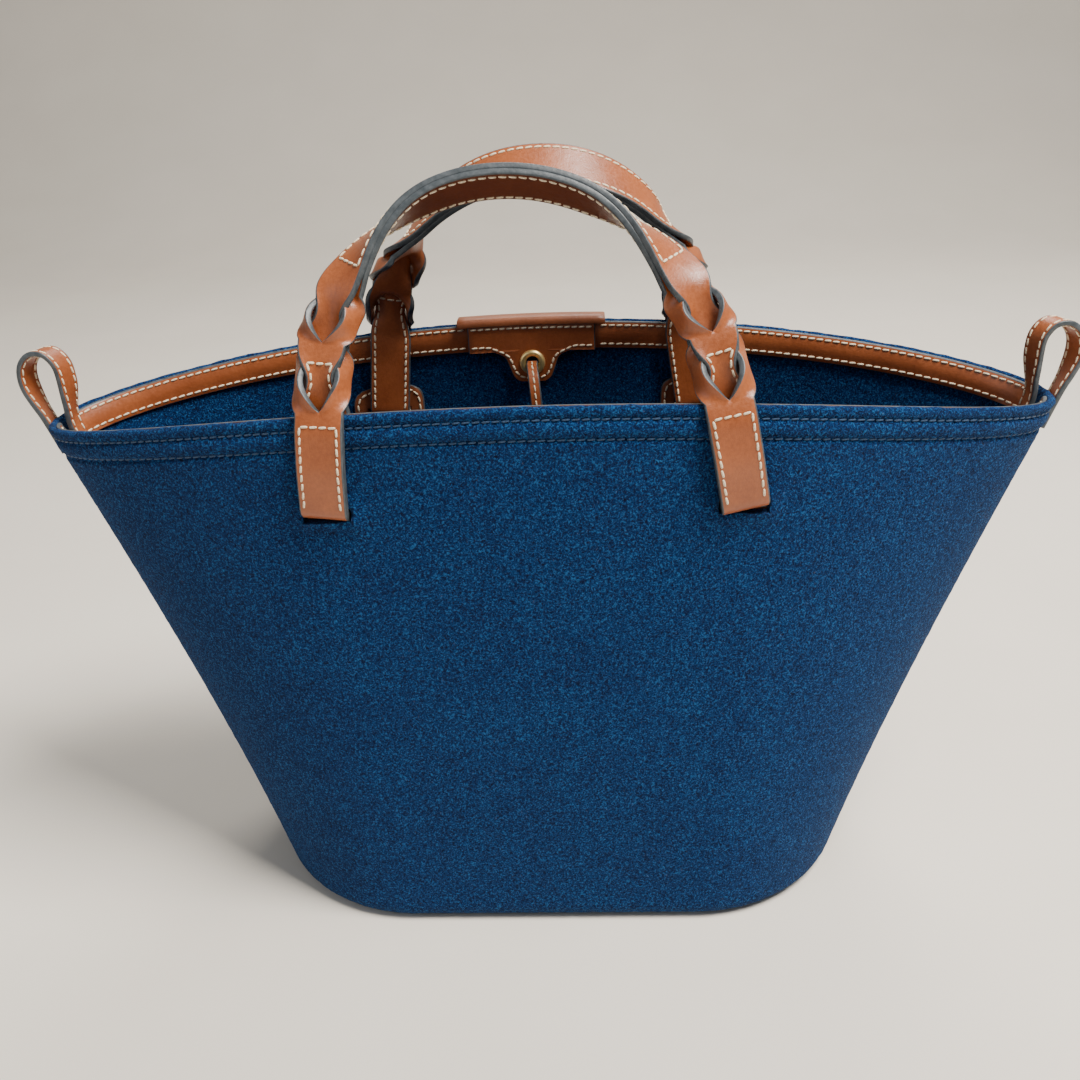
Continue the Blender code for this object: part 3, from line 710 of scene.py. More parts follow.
class Strap:
    """A leather strap on a spine. Each property is a function of the distance along it.

    A half strap's section runs from the strap's middle to its edge. gap moves the two halves apart where
    the strap is slit, roll turns their inner edges forward, and curl bends each half towards its edge."""

    def __init__(self, spine, width, thickness, lift=None, gap=None, roll=None, curl=None, squeeze=None):
        self.spine = spine
        self.width = width
        nothing = lambda s: 0.0
        self.thickness, self.lift, self.gap = thickness, lift or nothing, gap or nothing
        self.roll, self.curl, self.squeeze = roll or nothing, curl or nothing, squeeze or nothing

    def frame(self, s):
        """(point, across, along, out) of the strap's own middle at a distance."""
        point, across, along, out = self.spine.at(s)
        return point + out * self.lift(s), across, along, out

    def half(self, s):
        """Half the strap's width at a distance."""
        return self.width / 2 * (1 - self.squeeze(s))

    def local(self, s, q, high):
        """(across, out) offsets of a point q from the middle edge of a half, high above its centre line."""
        length = self.half(s)
        bend = self.curl(s)
        bend = bend if abs(bend) > 1e-3 else 1e-3  # a straight strap counts as bent very slightly
        start = -self.roll(s)
        angle = start + bend * q / length
        middle = start + bend / 2
        w = self.gap(s) + length / bend * (math.sin(angle) - math.sin(start))
        o = length / bend * (math.cos(middle) - math.cos(angle))
        return w - math.sin(angle) * high, o + math.cos(angle) * high

    def surface(self, s, side, from_edge, face):
        """A point on the strap and the surface's normal there: side and face are -1 or 1."""
        point, across, _, out = self.frame(s)
        q = self.half(s) - from_edge
        high = face * self.thickness(s) / 2
        w, o = self.local(s, q, high)
        w2, o2 = self.local(s, q, high + face * MM)
        place = point + across * (side * w) + out * o
        normal = across * (side * (w2 - w)) + out * (o2 - o)
        return place, normal.normalized()

    def ring(self, s):
        """The section of one half: top to the outer edge, back under, and round the inner edge."""
        half, high = self.half(s), self.thickness(s) / 2
        corner = min(CORNER, high * 0.8)
        inner = corner * min(1.0, self.gap(s) / MM)
        span = half - corner - inner
        top = [(inner + span * c, high) for c in COLUMNS]
        turns = [math.radians(a) for a in (60, 30, 0)]
        outer = [(half - corner + corner * math.cos(a), high - corner + corner * math.sin(a)) for a in turns]
        near = [(inner - inner * math.cos(a), high - inner + inner * math.sin(a)) for a in turns[::-1]]
        turned_down = [(q, -o) for q, o in reversed(top + outer)]
        near_low = [(q, -o) for q, o in reversed(near)]
        loop = top + outer + turned_down + near_low + near
        return [self.local(s, q, o) for q, o in loop]

    def mesh(self, made, stations, end_frames=None, shaded=None):
        """Adds the strap to a bmesh, as rows of two half sections.

        shaded, if given, is the stretch of distances whose lower face gets the third material, a painted
        shade."""
        rows = []
        for s in stations:
            point, across, _, out = (end_frames or {}).get(s) or self.frame(s)
            halves = []
            for side in (-1, 1):
                places = [point + across * (side * w) + out * o for w, o in self.ring(s)]
                halves.append([made.verts.new(place) for place in places])
            rows.append((halves, self.gap(s) > 1e-7, bool(shaded) and shaded[0] <= s < shaded[1]))
        top = len(COLUMNS)
        corners = 3
        count = 2 * (top + corners) + 2 * corners
        paint_outer = range(top - 1, top + 2 * corners)
        inner_from = 2 * (top + corners) - 1
        below = range(top + 2 * corners, inner_from)
        for (first, slit_first, is_shaded), (second, slit_second, _) in zip(rows, rows[1:]):
            for half in (0, 1):
                a, b = first[half], second[half]
                for k in range(count):
                    if k >= inner_from and not (slit_first or slit_second):
                        continue
                    after = (k + 1) % count
                    face = made.faces.new((a[k], a[after], b[after], b[k]))
                    if k in paint_outer or inner_from < k < count - 1:
                        face.material_index = 1
                    elif k in below and is_shaded:
                        face.material_index = 2
        for halves, _, _ in (rows[0], rows[-1]):
            for half in (0, 1):
                made.faces.new(halves[half]).material_index = 1
        return made


def sew_strap(made, strap, rows, face, closings=()):
    """Sews rows of (low, high) distances along both edges of a strap's face, and rows across it."""
    for low, high in rows:
        for side in (-1, 1):
            line = [strap.surface(s, side, STITCH_MARGIN, face) for s in graded([low, high], MM)]
            sew_along(made, line, slant=STITCH_SLANT * side * face)
    for s in closings:
        line = [strap.surface(s, -1, d, face) for d in graded([STITCH_MARGIN, strap.half(s)], MM)]
        line += [strap.surface(s, 1, d, face) for d in graded([STITCH_MARGIN, strap.half(s)], MM)[::-1]]
        sew_along(made, line)


# ---- handles -----------------------------------------------------------------------------------

SPINE_STEP = 0.5 * MM
TAB_LENGTH = HINGE_Z - SLOT_Z  # from the fold line down to the slot
GRIP_SEWN = 51 * MM  # where the grip's stitching starts
GRIP_LIFT = STRAP_SINGLE / 2 - 0.15 * MM  # pressed together a little
OUTER_LIFT = HINGE_INSET + GAP + STRAP_DOUBLE / 2
INNER_LIFT = FELT - HINGE_INSET + 3 * GAP + FACING + STRAP_DOUBLE / 2
OUTER_SLIT = (0.5 * MM, 22 * MM)
INNER_SLIT = (23 * MM, 42 * MM)
SLIT_GAP = 6.0 * MM
ARM_ROLL, ARM_ROLL_POWER = math.radians(60), 0.8
TAB_SWELL, TOP_SWELL = 1.2 * MM, 0.36 * MM  # how far the sewn ends bulge from the wall, and their tops
ARM_CURL = math.radians(-24)
SQUEEZE = 0.30
SQUEEZE_CURL = math.radians(48)
TURN_RADIUS = 3.2 * MM  # the bend of a strap's line into its slot
TURN_FURTHER = (2.0 * MM, 3.4 * MM)  # how far past that bend its last rings lie
TURN_STEP = 0.6 * MM  # the distances given to the bend's rings, which only put them in order
LINE_BLUR, ACROSS_BLUR, LIFT_BLUR, THICKNESS_BLUR = 3.2 * MM, 2.5 * MM, 2.0 * MM, 1.2 * MM
SPINE_MARGIN = 60 * MM
TOP_TURN = (50 * MM, 100 * MM)  # where along the handle its top turns over a little further
PASSING_WIDTH = 6.5 * MM
STRAP_STEP = 1.1 * MM
# How far each strap stands out of the handle's line where they weave, at distances from the fold line. The
# places are in millimetres. The first four and the last two lifts are the sewn ends' and the grip's.
LIFT_PLACES = (-60, -34, -19, -4, 4, 11, 17, 23, 28, 33, 39, 45, 50, 200)
OUTER_WEAVE = (2.7 * MM, 0, -2.0 * MM, -2.3 * MM, -1.6 * MM, 0, 1.9 * MM, 1.7 * MM)
INNER_WEAVE = (-2.9 * MM, 0, 2.0 * MM, 2.3 * MM, 1.6 * MM, 0, -1.9 * MM, -1.7 * MM)
OUTER_PASSES, INNER_PASSES = 33 * MM, 11 * MM  # where each strap goes through the other's slit
OUTER_DOUBLE, INNER_DOUBLE = (-60, -5, -1, 200), (-60, 13, 19, 200)  # where each thins from two layers to one
LEG_DOUBLE = STRAP_DOUBLE * 0.85
BOX_TOP = -3.5 * MM  # the closing row of the outer ends' stitches
LEG_TOP = 16 * MM  # and of the inner legs'


def hinge_y():
    """The fold line's Y on the front half."""
    return wall_point(HINGE_X, rim_z(HINGE_X), HINGE_INSET).y


def arch_line(side):
    """A handle's centre line in its leaning plane, from the -X foot to the +X foot, and its length."""
    left, right = HANDLES[side]["feet"]
    angles = np.linspace(math.pi, 0, ARCH_SAMPLES)
    power = 2 / ARCH_POWER
    rise = np.abs(np.sin(angles)) ** power
    reach = np.sign(np.cos(angles)) * np.abs(np.cos(angles)) ** power
    x = (right + left) / 2 + (right - left) / 2 * reach + HANDLES[side]["skew"] * rise
    line = np.stack([x, rise * HANDLE_RISE], axis=1)
    length = np.hypot(*np.diff(line, axis=0).T).sum()
    return evenly(line, round(length / SPINE_STEP)), length


def handle_spine(side):
    """The line both handle straps follow, from slot to slot over the arch, with 0 at the -X fold line."""
    arch, length = arch_line(side)
    step = length / (len(arch) - 1)
    y = hinge_y() + arch[:, 1] * math.sin(HANDLE_LEAN)
    z = HINGE_Z + arch[:, 1] * math.cos(HANDLE_LEAN)
    bow = np.stack([arch[:, 0], y, z], axis=1)
    drops = np.arange(1, round(TAB_LENGTH / step) + 1) * step
    legs = []
    for slot_x, foot_x in zip(HANDLES[side]["slots"], HANDLES[side]["feet"]):
        leg = []
        for drop in drops:
            x = foot_x + (slot_x - foot_x) * drop / TAB_LENGTH
            leg.append(wall_point(x, HINGE_Z - drop, HINGE_INSET))
        legs.append(np.array(leg))
    left, right = legs
    points = np.concatenate([left[::-1], bow, right])
    distance = np.arange(len(points)) * step - len(left) * step
    points = blurred(points, step, LINE_BLUR)
    along = np.gradient(points, distance, axis=0)
    along /= np.linalg.norm(along, axis=1)[:, None]
    plane = np.array([0, -math.cos(HANDLE_LEAN), math.sin(HANDLE_LEAN)])
    from_end = np.minimum(distance, length - distance)
    twist = np.radians(90) * (1 - smooth_step(*HANDLES[side]["turn"], from_end))
    twist -= HANDLES[side]["twist"] * smooth_step(*TOP_TURN, from_end)
    lifted = plane - along * (along @ plane)[:, None]
    lifted /= np.linalg.norm(lifted, axis=1)[:, None]
    across = lifted * np.cos(twist)[:, None] + np.cross(along, lifted) * np.sin(twist)[:, None]
    for k, s in enumerate(distance):
        if from_end[k] < 0:
            x, _, z = points[k]
            z = min(z, rim_z(x) - MM)
            chord = wall_point(x + STRAP_WIDTH / 2, z, 0) - wall_point(x - STRAP_WIDTH / 2, z, 0)
            across[k] = np.array(chord.normalized()) * (1 if s < 0 else -1)
    across = blurred(across, step, ACROSS_BLUR)
    return Spine(distance, points, across), length


def by_end(length, places, values, blur=LIFT_BLUR):
    """A smooth function of the distance along a handle, given at distances from either fold line."""
    grid = np.arange(-SPINE_MARGIN, length + SPINE_MARGIN, SPINE_STEP)
    near = np.minimum(grid, length - grid)
    smooth = blurred(np.interp(near, np.array(places) * MM, np.array(values)), SPINE_STEP, blur)
    return lambda s: float(np.interp(s, grid, smooth))


def slit_share(length, slit):
    """How open a slit is: 0 at its ends and outside it, 1 in its middle."""
    def share(s):
        near = min(s, length - s)
        return math.sin(math.pi * min(1.0, max(0.0, (near - slit[0]) / (slit[1] - slit[0]))))
    return share


def passing_share(length, centre, width):
    """How strongly a strap is squeezed where it passes through the other one's slit."""
    return lambda s: math.exp(-(((min(s, length - s) - centre) / width) ** 2))


def make_handle_strap(spine, length, lifts, thickness, slit, crossing):
    """One of a handle's two straps, slit near both ends and squeezed where it passes the other's slit."""
    opening = slit_share(length, slit)
    passing = passing_share(length, crossing, PASSING_WIDTH)
    return Strap(
        spine, STRAP_WIDTH, by_end(length, *thickness, blur=THICKNESS_BLUR),
        lift=by_end(length, LIFT_PLACES, lifts),
        gap=lambda s: SLIT_GAP * opening(s),
        roll=lambda s: ARM_ROLL * opening(s) ** ARM_ROLL_POWER,
        curl=lambda s: ARM_CURL * opening(s) + SQUEEZE_CURL * passing(s),
        squeeze=lambda s: SQUEEZE * passing(s),
    )


def slot_turn(strap, end_s, inward, is_start):
    """Frames that turn a strap's end from the wall into its slot, by made-up distances past its end."""
    point, across, along, out = strap.frame(end_s)
    down = -along if is_start else along
    turn_to = -out if inward else out
    frames = {}
    places = [(math.radians(a), 0.0) for a in (15, 30, 45, 60, 75, 90)]
    places += [(math.pi / 2, further) for further in TURN_FURTHER]
    for k, (angle, further) in enumerate(places):
        centre = point + down * (TURN_RADIUS * math.sin(angle))
        centre = centre + turn_to * (TURN_RADIUS * (1 - math.cos(angle)) + further)
        facing = out * math.cos(angle) + down * (math.sin(angle) if inward else -math.sin(angle))
        distance = end_s + (-1 if is_start else 1) * (k + 1) * TURN_STEP
        frames[distance] = (centre, across, along, facing)
    return frames


def make_handle(side, is_back):
    """A handle: two straps plaited through each other's slits at both ends and sewn together on top."""
    spine, length = handle_spine(side)
    up, down, g = OUTER_LIFT, INNER_LIFT, GRIP_LIFT
    outer_lifts = (up, up, up + TAB_SWELL, up + TOP_SWELL, *OUTER_WEAVE, g, g)
    inner_lifts = (-down, -down, -down, -down, *INNER_WEAVE, -g, -g)
    outer_layers = (OUTER_DOUBLE, (STRAP_DOUBLE, STRAP_DOUBLE, STRAP_SINGLE, STRAP_SINGLE))
    inner_layers = (INNER_DOUBLE, (LEG_DOUBLE, LEG_DOUBLE, STRAP_SINGLE, STRAP_SINGLE))
    outer = make_handle_strap(spine, length, outer_lifts, outer_layers, OUTER_SLIT, OUTER_PASSES)
    inner = make_handle_strap(spine, length, inner_lifts, inner_layers, INNER_SLIT, INNER_PASSES)
    low = -(TAB_LENGTH - TURN_RADIUS)
    high = length + TAB_LENGTH - TURN_RADIUS
    pieces = []
    for strap, name, inward in ((outer, "outer", True), (inner, "inner", False)):
        starts = slot_turn(strap, low, inward, True)
        ends = slot_turn(strap, high, inward, False)
        slit_low, slit_high = OUTER_SLIT if inward else INNER_SLIT
        stops = [low, slit_low, slit_high, length - slit_high, length - slit_low, high]
        places = sorted(starts) + list(graded(stops, STRAP_STEP)) + sorted(ends)
        # The inner strap's lower face along the sewn grip gets painted shade.
        shaded = None if inward else (GRIP_SEWN, length - GRIP_SEWN)
        made = strap.mesh(bmesh.new(), places, {**starts, **ends}, shaded)
        looks = [LEATHER, EDGE] if inward else [LEATHER, EDGE, SHADED]
        pieces.append(turned(add_piece(f"{side}_handle_{name}_strap", made, looks, sharp=50), is_back))
    nodes = [f"handle_loop_{side}_{e}" for e in "ab"] + [f"{side}_{e}_strand_outer" for e in "ab"]
    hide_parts(f"{side}_grip_outer", *nodes)
    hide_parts(f"{side}_grip_inner", *(f"{side}_{e}_strand_inner" for e in "ab"))
    thread = bmesh.new()
    sewn = (GRIP_SEWN, length - GRIP_SEWN)
    sew_strap(thread, outer, [sewn], 1, sewn)
    sew_strap(thread, inner, [sewn], -1, sewn)
    sew_strap(thread, outer, [(low, BOX_TOP), (length - BOX_TOP, high)], 1, (BOX_TOP, length - BOX_TOP))
    rows = [(low, LEG_TOP), (length - LEG_TOP, high)]
    for face in (-1, 1):
        sew_strap(thread, inner, rows, face, (LEG_TOP, length - LEG_TOP))
    pieces.append(add_thread(f"{side}_handle_stitches", thread, is_back))
    for piece in pieces:
        fold = Vector((0, (-1 if is_back else 1) * hinge_y(), HINGE_Z))
        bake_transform(piece)


# ---- leather sewn to the rim -------------------------------------------------------------------


EDGE_ROUND = 0.35 * MM  # how far a leather sheet's border is rounded off
SHEET_BORDER = 0.4 * MM  # and how wide that border is


def leather_sheet(made, rows, inset, thickness):
    """A sheet on the wall with rounded edges, from rows of (x, drop below the rim) points."""
    near, far = [], []
    last = len(rows) - 1
    for r, row in enumerate(rows):
        near_row, far_row = [], []
        for c, (x, drop) in enumerate(row):
            z = rim_z(x) - drop
            border = r in (0, last) or c in (0, len(row) - 1)
            near_row.append(wall_point(x, z, inset))
            far_row.append(wall_point(x, z, inset + thickness - (EDGE_ROUND if border else 0)))
        near.append(near_row)
        far.append(far_row)
    return thick_grid(made, near, far)


def outline_rows(drops, half_width, columns, centre):
    """Rows of (x, drop) across a shape whose half width depends on the drop."""
    rows = []
    for drop in drops:
        half = max(half_width(drop), 2 * SHEET_BORDER)
        inside = half - SHEET_BORDER
        xs = [-half, *(inside * (2 * k / columns - 1) for k in range(columns + 1)), half]
        rows.append([(centre + x, drop) for x in xs])
    return rows


FACING_PUFF = 0.5 * MM  # how far the facing swells between its two rows of stitches
FACING_ENDS = (0.012, 0.988)  # the shares of the wall's half outline where a facing starts and ends
FACING_STEP = 2.4 * MM
FACING_DROPS = (0.5, 0.9, 2.1, 3.3, 4.6, 6, 7.4, 8.8, 10, 11.6, 12)  # its rows below the rim, in millimetres
FACING_ROWS = (2.1, 10.0)  # its two rows of stitches, likewise
FACING_THREAD_ENDS = (0.02, 0.98)
THREAD_STEP = 1.5 * MM  # between the points of a line of stitches that follows the wall


def make_facing(side, is_back):
    """The leather band sewn along the inside of the rim, with its two rows of stitches."""
    near_inset = FELT + GAP
    shares = graded(FACING_ENDS, FACING_STEP / HALF_RIM)
    upper_row, lower_row = FACING_ROWS
    near, far = [], []
    for drop in FACING_DROPS:
        height = 1 - drop * MM / RIM_HEIGHT
        border = drop in (FACING_DROPS[0], FACING_DROPS[-1])
        near.append(wall_row(height, near_inset, shares))
        puff = FACING_PUFF * max(0.0, math.sin(math.pi * (drop - upper_row) / (lower_row - upper_row)))
        far.append(wall_row(height, near_inset + FACING + puff - (EDGE_ROUND if border else 0), shares))
    made = thick_grid(bmesh.new(), near, far)
    facing = turned(add_piece(f"{side}_rim_facing", made, [LEATHER, EDGE], sharp=50), is_back)
    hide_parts(f"rim_facing_{side}")
    thread = bmesh.new()
    fine = graded(FACING_THREAD_ENDS, THREAD_STEP / HALF_RIM)
    for drop in FACING_ROWS:
        height = 1 - drop * MM / RIM_HEIGHT
        on = wall_row(height, near_inset + FACING, fine)
        above = wall_row(height, near_inset + FACING + MM, fine)
        keep = np.ones(len(fine), bool)
        if is_back:
            keep = np.abs(on[:, 0] + CLOSURE_X) > TAB_BAND / 2 + MM
        for part in np.split(np.arange(len(fine)), np.nonzero(np.diff(keep.astype(int)))[0] + 1):
            if keep[part[0]]:
                sew(thread, on[part], (above - on)[part])
    stitches = add_thread(f"{side}_rim_stitches", thread, is_back)
    for piece in (facing, stitches):
        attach(piece, "bag")


HEM_THREAD_ENDS = (0.015, 0.985)
HEM_THREAD_INSET = 0.55 * MM  # how far in from the wall's plain face the tonal stitches lie
HEM_THREAD_RADIUS = 0.34 * MM


def make_hem_stitches(side, is_back):
    """The tonal stitches that show on the outside, sunk in the hem's two grooves."""
    thread = bmesh.new()
    fine = graded(HEM_THREAD_ENDS, THREAD_STEP / HALF_RIM)
    for drop in HEM_ROWS:
        height = 1 - drop / RIM_HEIGHT
        on = wall_row(height, HEM_THREAD_INSET, fine)
        above = wall_row(height, HEM_THREAD_INSET - MM, fine)
        sew(thread, on, above - on, radius=HEM_THREAD_RADIUS)
    stitches = add_thread(f"{side}_hem_stitches", thread, is_back, NAVY)
    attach(stitches, "bag")


PATCH_WIDTH = 30 * MM
PATCH_HEIGHT = 24 * MM
PATCH = 1.1 * MM
PATCH_POWERS = (4.5, 0.3)  # the shape of its rounded rectangle
# Its rows from its edge to near its middle, as shares of half its height.
PATCH_ROWS = (0.9992, 0.985, 0.95, *(0.9 - 0.12 * k for k in range(8)))
PATCH_MARGIN = 1.8 * MM  # from its edge to its stitches
PATCH_COLUMNS = 12


def make_slot_patches(side, is_back):
    """The leather patches that back the slots inside, each sewn round its edge."""
    thread = bmesh.new()
    half_w, half_h = PATCH_WIDTH / 2, PATCH_HEIGHT / 2
    for end, centre in zip("ab", HANDLES[side]["slots"]):
        slot_drop = rim_z(centre) - SLOT_Z

        def half_width(drop, shrink=0.0, slot_drop=slot_drop):
            up = min(1.0, abs(drop - slot_drop) / (half_h - shrink))
            return (half_w - shrink) * (1 - up ** PATCH_POWERS[0]) ** PATCH_POWERS[1]

        reach = [half_h * share for share in PATCH_ROWS]
        drops = [slot_drop - r for r in reach] + [slot_drop + r for r in reach[::-1]]
        rows = outline_rows(drops, half_width, PATCH_COLUMNS, centre)
        made = leather_sheet(bmesh.new(), rows, FELT + GAP, PATCH)
        patch = add_piece(f"{side}_slot_patch_{end}", made, [LINING_AND_SHADE, EDGE], sharp=50)
        cut_box(patch, wall_point(centre, SLOT_Z, FELT))
        turned(patch, is_back)
        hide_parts(f"slot_patch_{side}_{end}")
        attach(patch, "bag")
        ups = [math.sin(math.radians(a)) * (half_h - PATCH_MARGIN) for a in range(-88, 92, 4)]
        right = [(centre + half_width(slot_drop + u, PATCH_MARGIN), slot_drop + u) for u in ups]
        left = [(centre - half_width(slot_drop + u, PATCH_MARGIN), slot_drop + u) for u in ups[::-1]]
        around = [*right, *left, right[0]]
        on = [wall_point(x, rim_z(x) - d, FELT + GAP + PATCH) for x, d in around]
        sew(thread, on, [Vector((0, 1, 0))] * len(on))
    stitches = add_thread(f"{side}_slot_stitches", thread, is_back)
    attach(stitches, "bag")


def cut_with(piece, cutter):
    """Cuts one mesh from another, applies the cut and removes the cutter."""
    boolean = piece.modifiers.new("cut", "BOOLEAN")
    boolean.operation = "DIFFERENCE"
    boolean.object = cutter
    graph = bpy.context.evaluated_depsgraph_get()
    finished = bpy.data.meshes.new_from_object(piece.evaluated_get(graph))
    piece.modifiers.clear()
    piece.data = finished
    bpy.data.objects.remove(cutter)


SLOT_CUT_DEPTH = 16 * MM


def cut_box(piece, centre):
    """Cuts a handle's slot through a piece at a point."""
    made = bmesh.new()
    bmesh.ops.create_cube(made, size=1)
    size = (2 * SLOT_HALF_WIDTH, SLOT_CUT_DEPTH, 2 * SLOT_HALF_HEIGHT)
    bmesh.ops.scale(made, verts=made.verts, vec=size)
    bmesh.ops.translate(made, verts=made.verts, vec=centre)
    cut_with(piece, add_piece("cutter", made, [EDGE]))


# ---- the closure at the back -------------------------------------------------------------------

TAB_BAND = 53 * MM
TAB_DROP = 25.5 * MM
EYELET_OUTER = 5.4 * MM
EYELET_HOLE = 2.6 * MM
TAB_INSET = FELT + 2 * GAP + FACING
TAB_THICK = FACING + 0.25 * MM
TONGUE_TOP, TONGUE_TIP = 12.2 * MM, 7.4 * MM  # half the tongue's width at its top and at its tip
TONGUE_FILLET, TONGUE_FLARE, TONGUE_FLARE_POWER = 3.5 * MM, 4.5 * MM, 2.2  # where it leaves the band
TONGUE_CORNER = 3.2 * MM
# The tab's rows below the rim, in millimetres: the band, both sides of its lower edge, and the tongue.
BAND_DROPS = (0.7, 1.1, 3, 5, 7, 9, 11, 12.0 - 1e-3, 12.0 + 1e-3)
TONGUE_DROPS = (12.3, 12.8, 13.4, 14.2, 15.2, 16.2, 17.5, 19, 20.5, 22.3, 23.3, 24.2, 24.9, 25.3, 25.5)
TAB_COLUMNS = 20
TAB_HOLE = 3.6 * MM
TAB_CUT_DEPTH = 8 * MM
TAB_MARGIN = 1.7 * MM  # from the tongue's edge to its stitches
TAB_TOP_ROW, TAB_LOW_ROW = 2.1 * MM, 10.0 * MM
TAB_TIP_ROW = 4.2 * MM  # half the length of the row across the tip
TAB_PITCH = 3.0 * MM


def tab_half_width(drop):
    """Half the tab's width: the band, then a filleted tongue that tapers to a rounded end."""
    if drop <= FACING_HEIGHT:
        return TAB_BAND / 2
    share = (drop - FACING_HEIGHT) / (TAB_DROP - FACING_HEIGHT)
    side = TONGUE_TOP + (TONGUE_TIP - TONGUE_TOP) * share
    flare = max(0.0, 1 - (drop - FACING_HEIGHT) / TONGUE_FILLET)
    side += TONGUE_FLARE * flare**TONGUE_FLARE_POWER
    into = drop - (TAB_DROP - TONGUE_CORNER)
    if into > 0:
        side -= TONGUE_CORNER * (1 - math.sqrt(max(0.0, 1 - (into / TONGUE_CORNER) ** 2)))
    return side


def tab_stitch_lines():
    """The tab's two lines of stitches, as (x, drop) points: its top row, and round the rest of its edge."""
    band_end = TAB_BAND / 2 - MM
    top = [(x, TAB_TOP_ROW) for x in graded([-band_end, band_end], 2 * MM)]
    corner_x = tab_half_width(FACING_HEIGHT + 1e-6) + MM
    lower_left = [(x, TAB_LOW_ROW) for x in graded([-band_end, -corner_x], 2 * MM)]
    tip = TAB_DROP - TAB_MARGIN
    downs = graded([TAB_LOW_ROW + 2.5 * MM, tip - 2.2 * MM], MM)
    left = [(TAB_MARGIN - tab_half_width(d + 0.5 * MM), d) for d in downs]
    bottom = [(x, tip) for x in graded([-TAB_TIP_ROW, TAB_TIP_ROW], MM)]
    return top, lower_left + left + bottom + [(-x, d) for x, d in (lower_left + left)[::-1]]


def make_closure_tab():
    """The band and tongue that carry the eyelet, sewn round their edge."""
    drops = [drop * MM for drop in (*BAND_DROPS, *TONGUE_DROPS)]
    rows = outline_rows(drops, tab_half_width, TAB_COLUMNS, -CLOSURE_X)
    made = leather_sheet(bmesh.new(), rows, TAB_INSET, TAB_THICK)
    tab = add_piece("eyelet_tab", made, [LEATHER, EDGE], sharp=50)
    hole = bmesh.new()
    at = wall_point(-CLOSURE_X, EYELET_Z, TAB_INSET)
    through = Matrix.Translation(at) @ Matrix.Rotation(math.pi / 2, 4, "X")
    bmesh.ops.create_cone(hole, cap_ends=True, segments=40, radius1=TAB_HOLE, radius2=TAB_HOLE,
                          depth=TAB_CUT_DEPTH, matrix=through)
    cut_with(tab, add_piece("cutter", hole, [EDGE]))
    turned(tab, True)
    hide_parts("closure_tab")
    thread = bmesh.new()
    face = TAB_INSET + TAB_THICK
    for line in tab_stitch_lines():
        on = [wall_point(x - CLOSURE_X, rim_z(x) - d, face) for x, d in line]
        sew(thread, on, [Vector((0, 1, 0))] * len(on), pitch=TAB_PITCH)
    stitches = add_thread("eyelet_tab_stitches", thread, True)
    for piece in (tab, stitches):
        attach(piece, "bag")
    return face


EYELET_DOME = 1.5 * MM
EYELET_BARREL, EYELET_WALL = 2.0 * MM, 0.4 * MM  # how far its barrel goes into the tab, and how thick it is
EYELET_LIP = 0.3 * MM
EYELET_SIDES = 64


def make_eyelet(face):
    """The domed brass eyelet, with its barrel through the tab."""
    centre = wall_point(-CLOSURE_X, EYELET_Z, face)
    middle, reach = (EYELET_OUTER + EYELET_HOLE) / 2, (EYELET_OUTER - EYELET_HOLE) / 2
    turns = [math.radians(a) for a in range(0, 181, 15)]
    dome = [(middle + reach * math.cos(a), EYELET_DOME * math.sin(a)) for a in turns]
    barrel = EYELET_HOLE + EYELET_WALL
    profile = [*dome, (EYELET_HOLE, -EYELET_BARREL), (barrel, -EYELET_BARREL), (barrel, -EYELET_LIP),
               (EYELET_OUTER, -EYELET_LIP)]
    made = bmesh.new()
    rings = []
    for k in range(EYELET_SIDES):
        turn = 2 * math.pi * k / EYELET_SIDES
        places = [centre + Vector((r * math.cos(turn), h, r * math.sin(turn))) for r, h in profile]
        rings.append([made.verts.new(place) for place in places])
    join_rings(made, zip(rings, rings[1:] + rings[:1]))
    eyelet = turned(add_piece("brass_eyelet", made, [BRASS], sharp=60), True)
    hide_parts("eyelet")
    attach(eyelet, "bag")
    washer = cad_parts["eyelet_washer"]
    for slot in washer.material_slots:
        slot.material = BRASS


CAP_HALF = 30.7 * MM
CAP_THICK = 1.3 * MM
CAP_RISE = 2.5 * MM  # its top above the rim
CAP_CORNER = 1.4 * MM
CAP_OUTSIDE = (-11 * MM, -6 * MM, -1 * MM)  # its rows down the outside
# Its rows over the tab's front, as steps in from the tab's face and down from its top.
CAP_INSIDE = ((0.2 * MM, 0.5 * MM), (0.9 * MM, 2.0 * MM), (1.1 * MM, 3.2 * MM))
CAP_COLUMNS = 20


def cap_route(face):
    """The cap's section, as (inset, height above the rim) points from outside to inside."""
    outside = -GAP - CAP_THICK
    reach = face - 0.1 * MM
    route = [(outside, up) for up in CAP_OUTSIDE]
    for a in (0, 30, 60, 90):
        turn = math.radians(a)
        up = CAP_RISE - CAP_CORNER + CAP_CORNER * math.sin(turn)
        route.append((outside + CAP_CORNER * (1 - math.cos(turn)), up))
    route.append((reach - CAP_CORNER, CAP_RISE))
    return route + [(reach + on, CAP_RISE - down) for on, down in CAP_INSIDE]


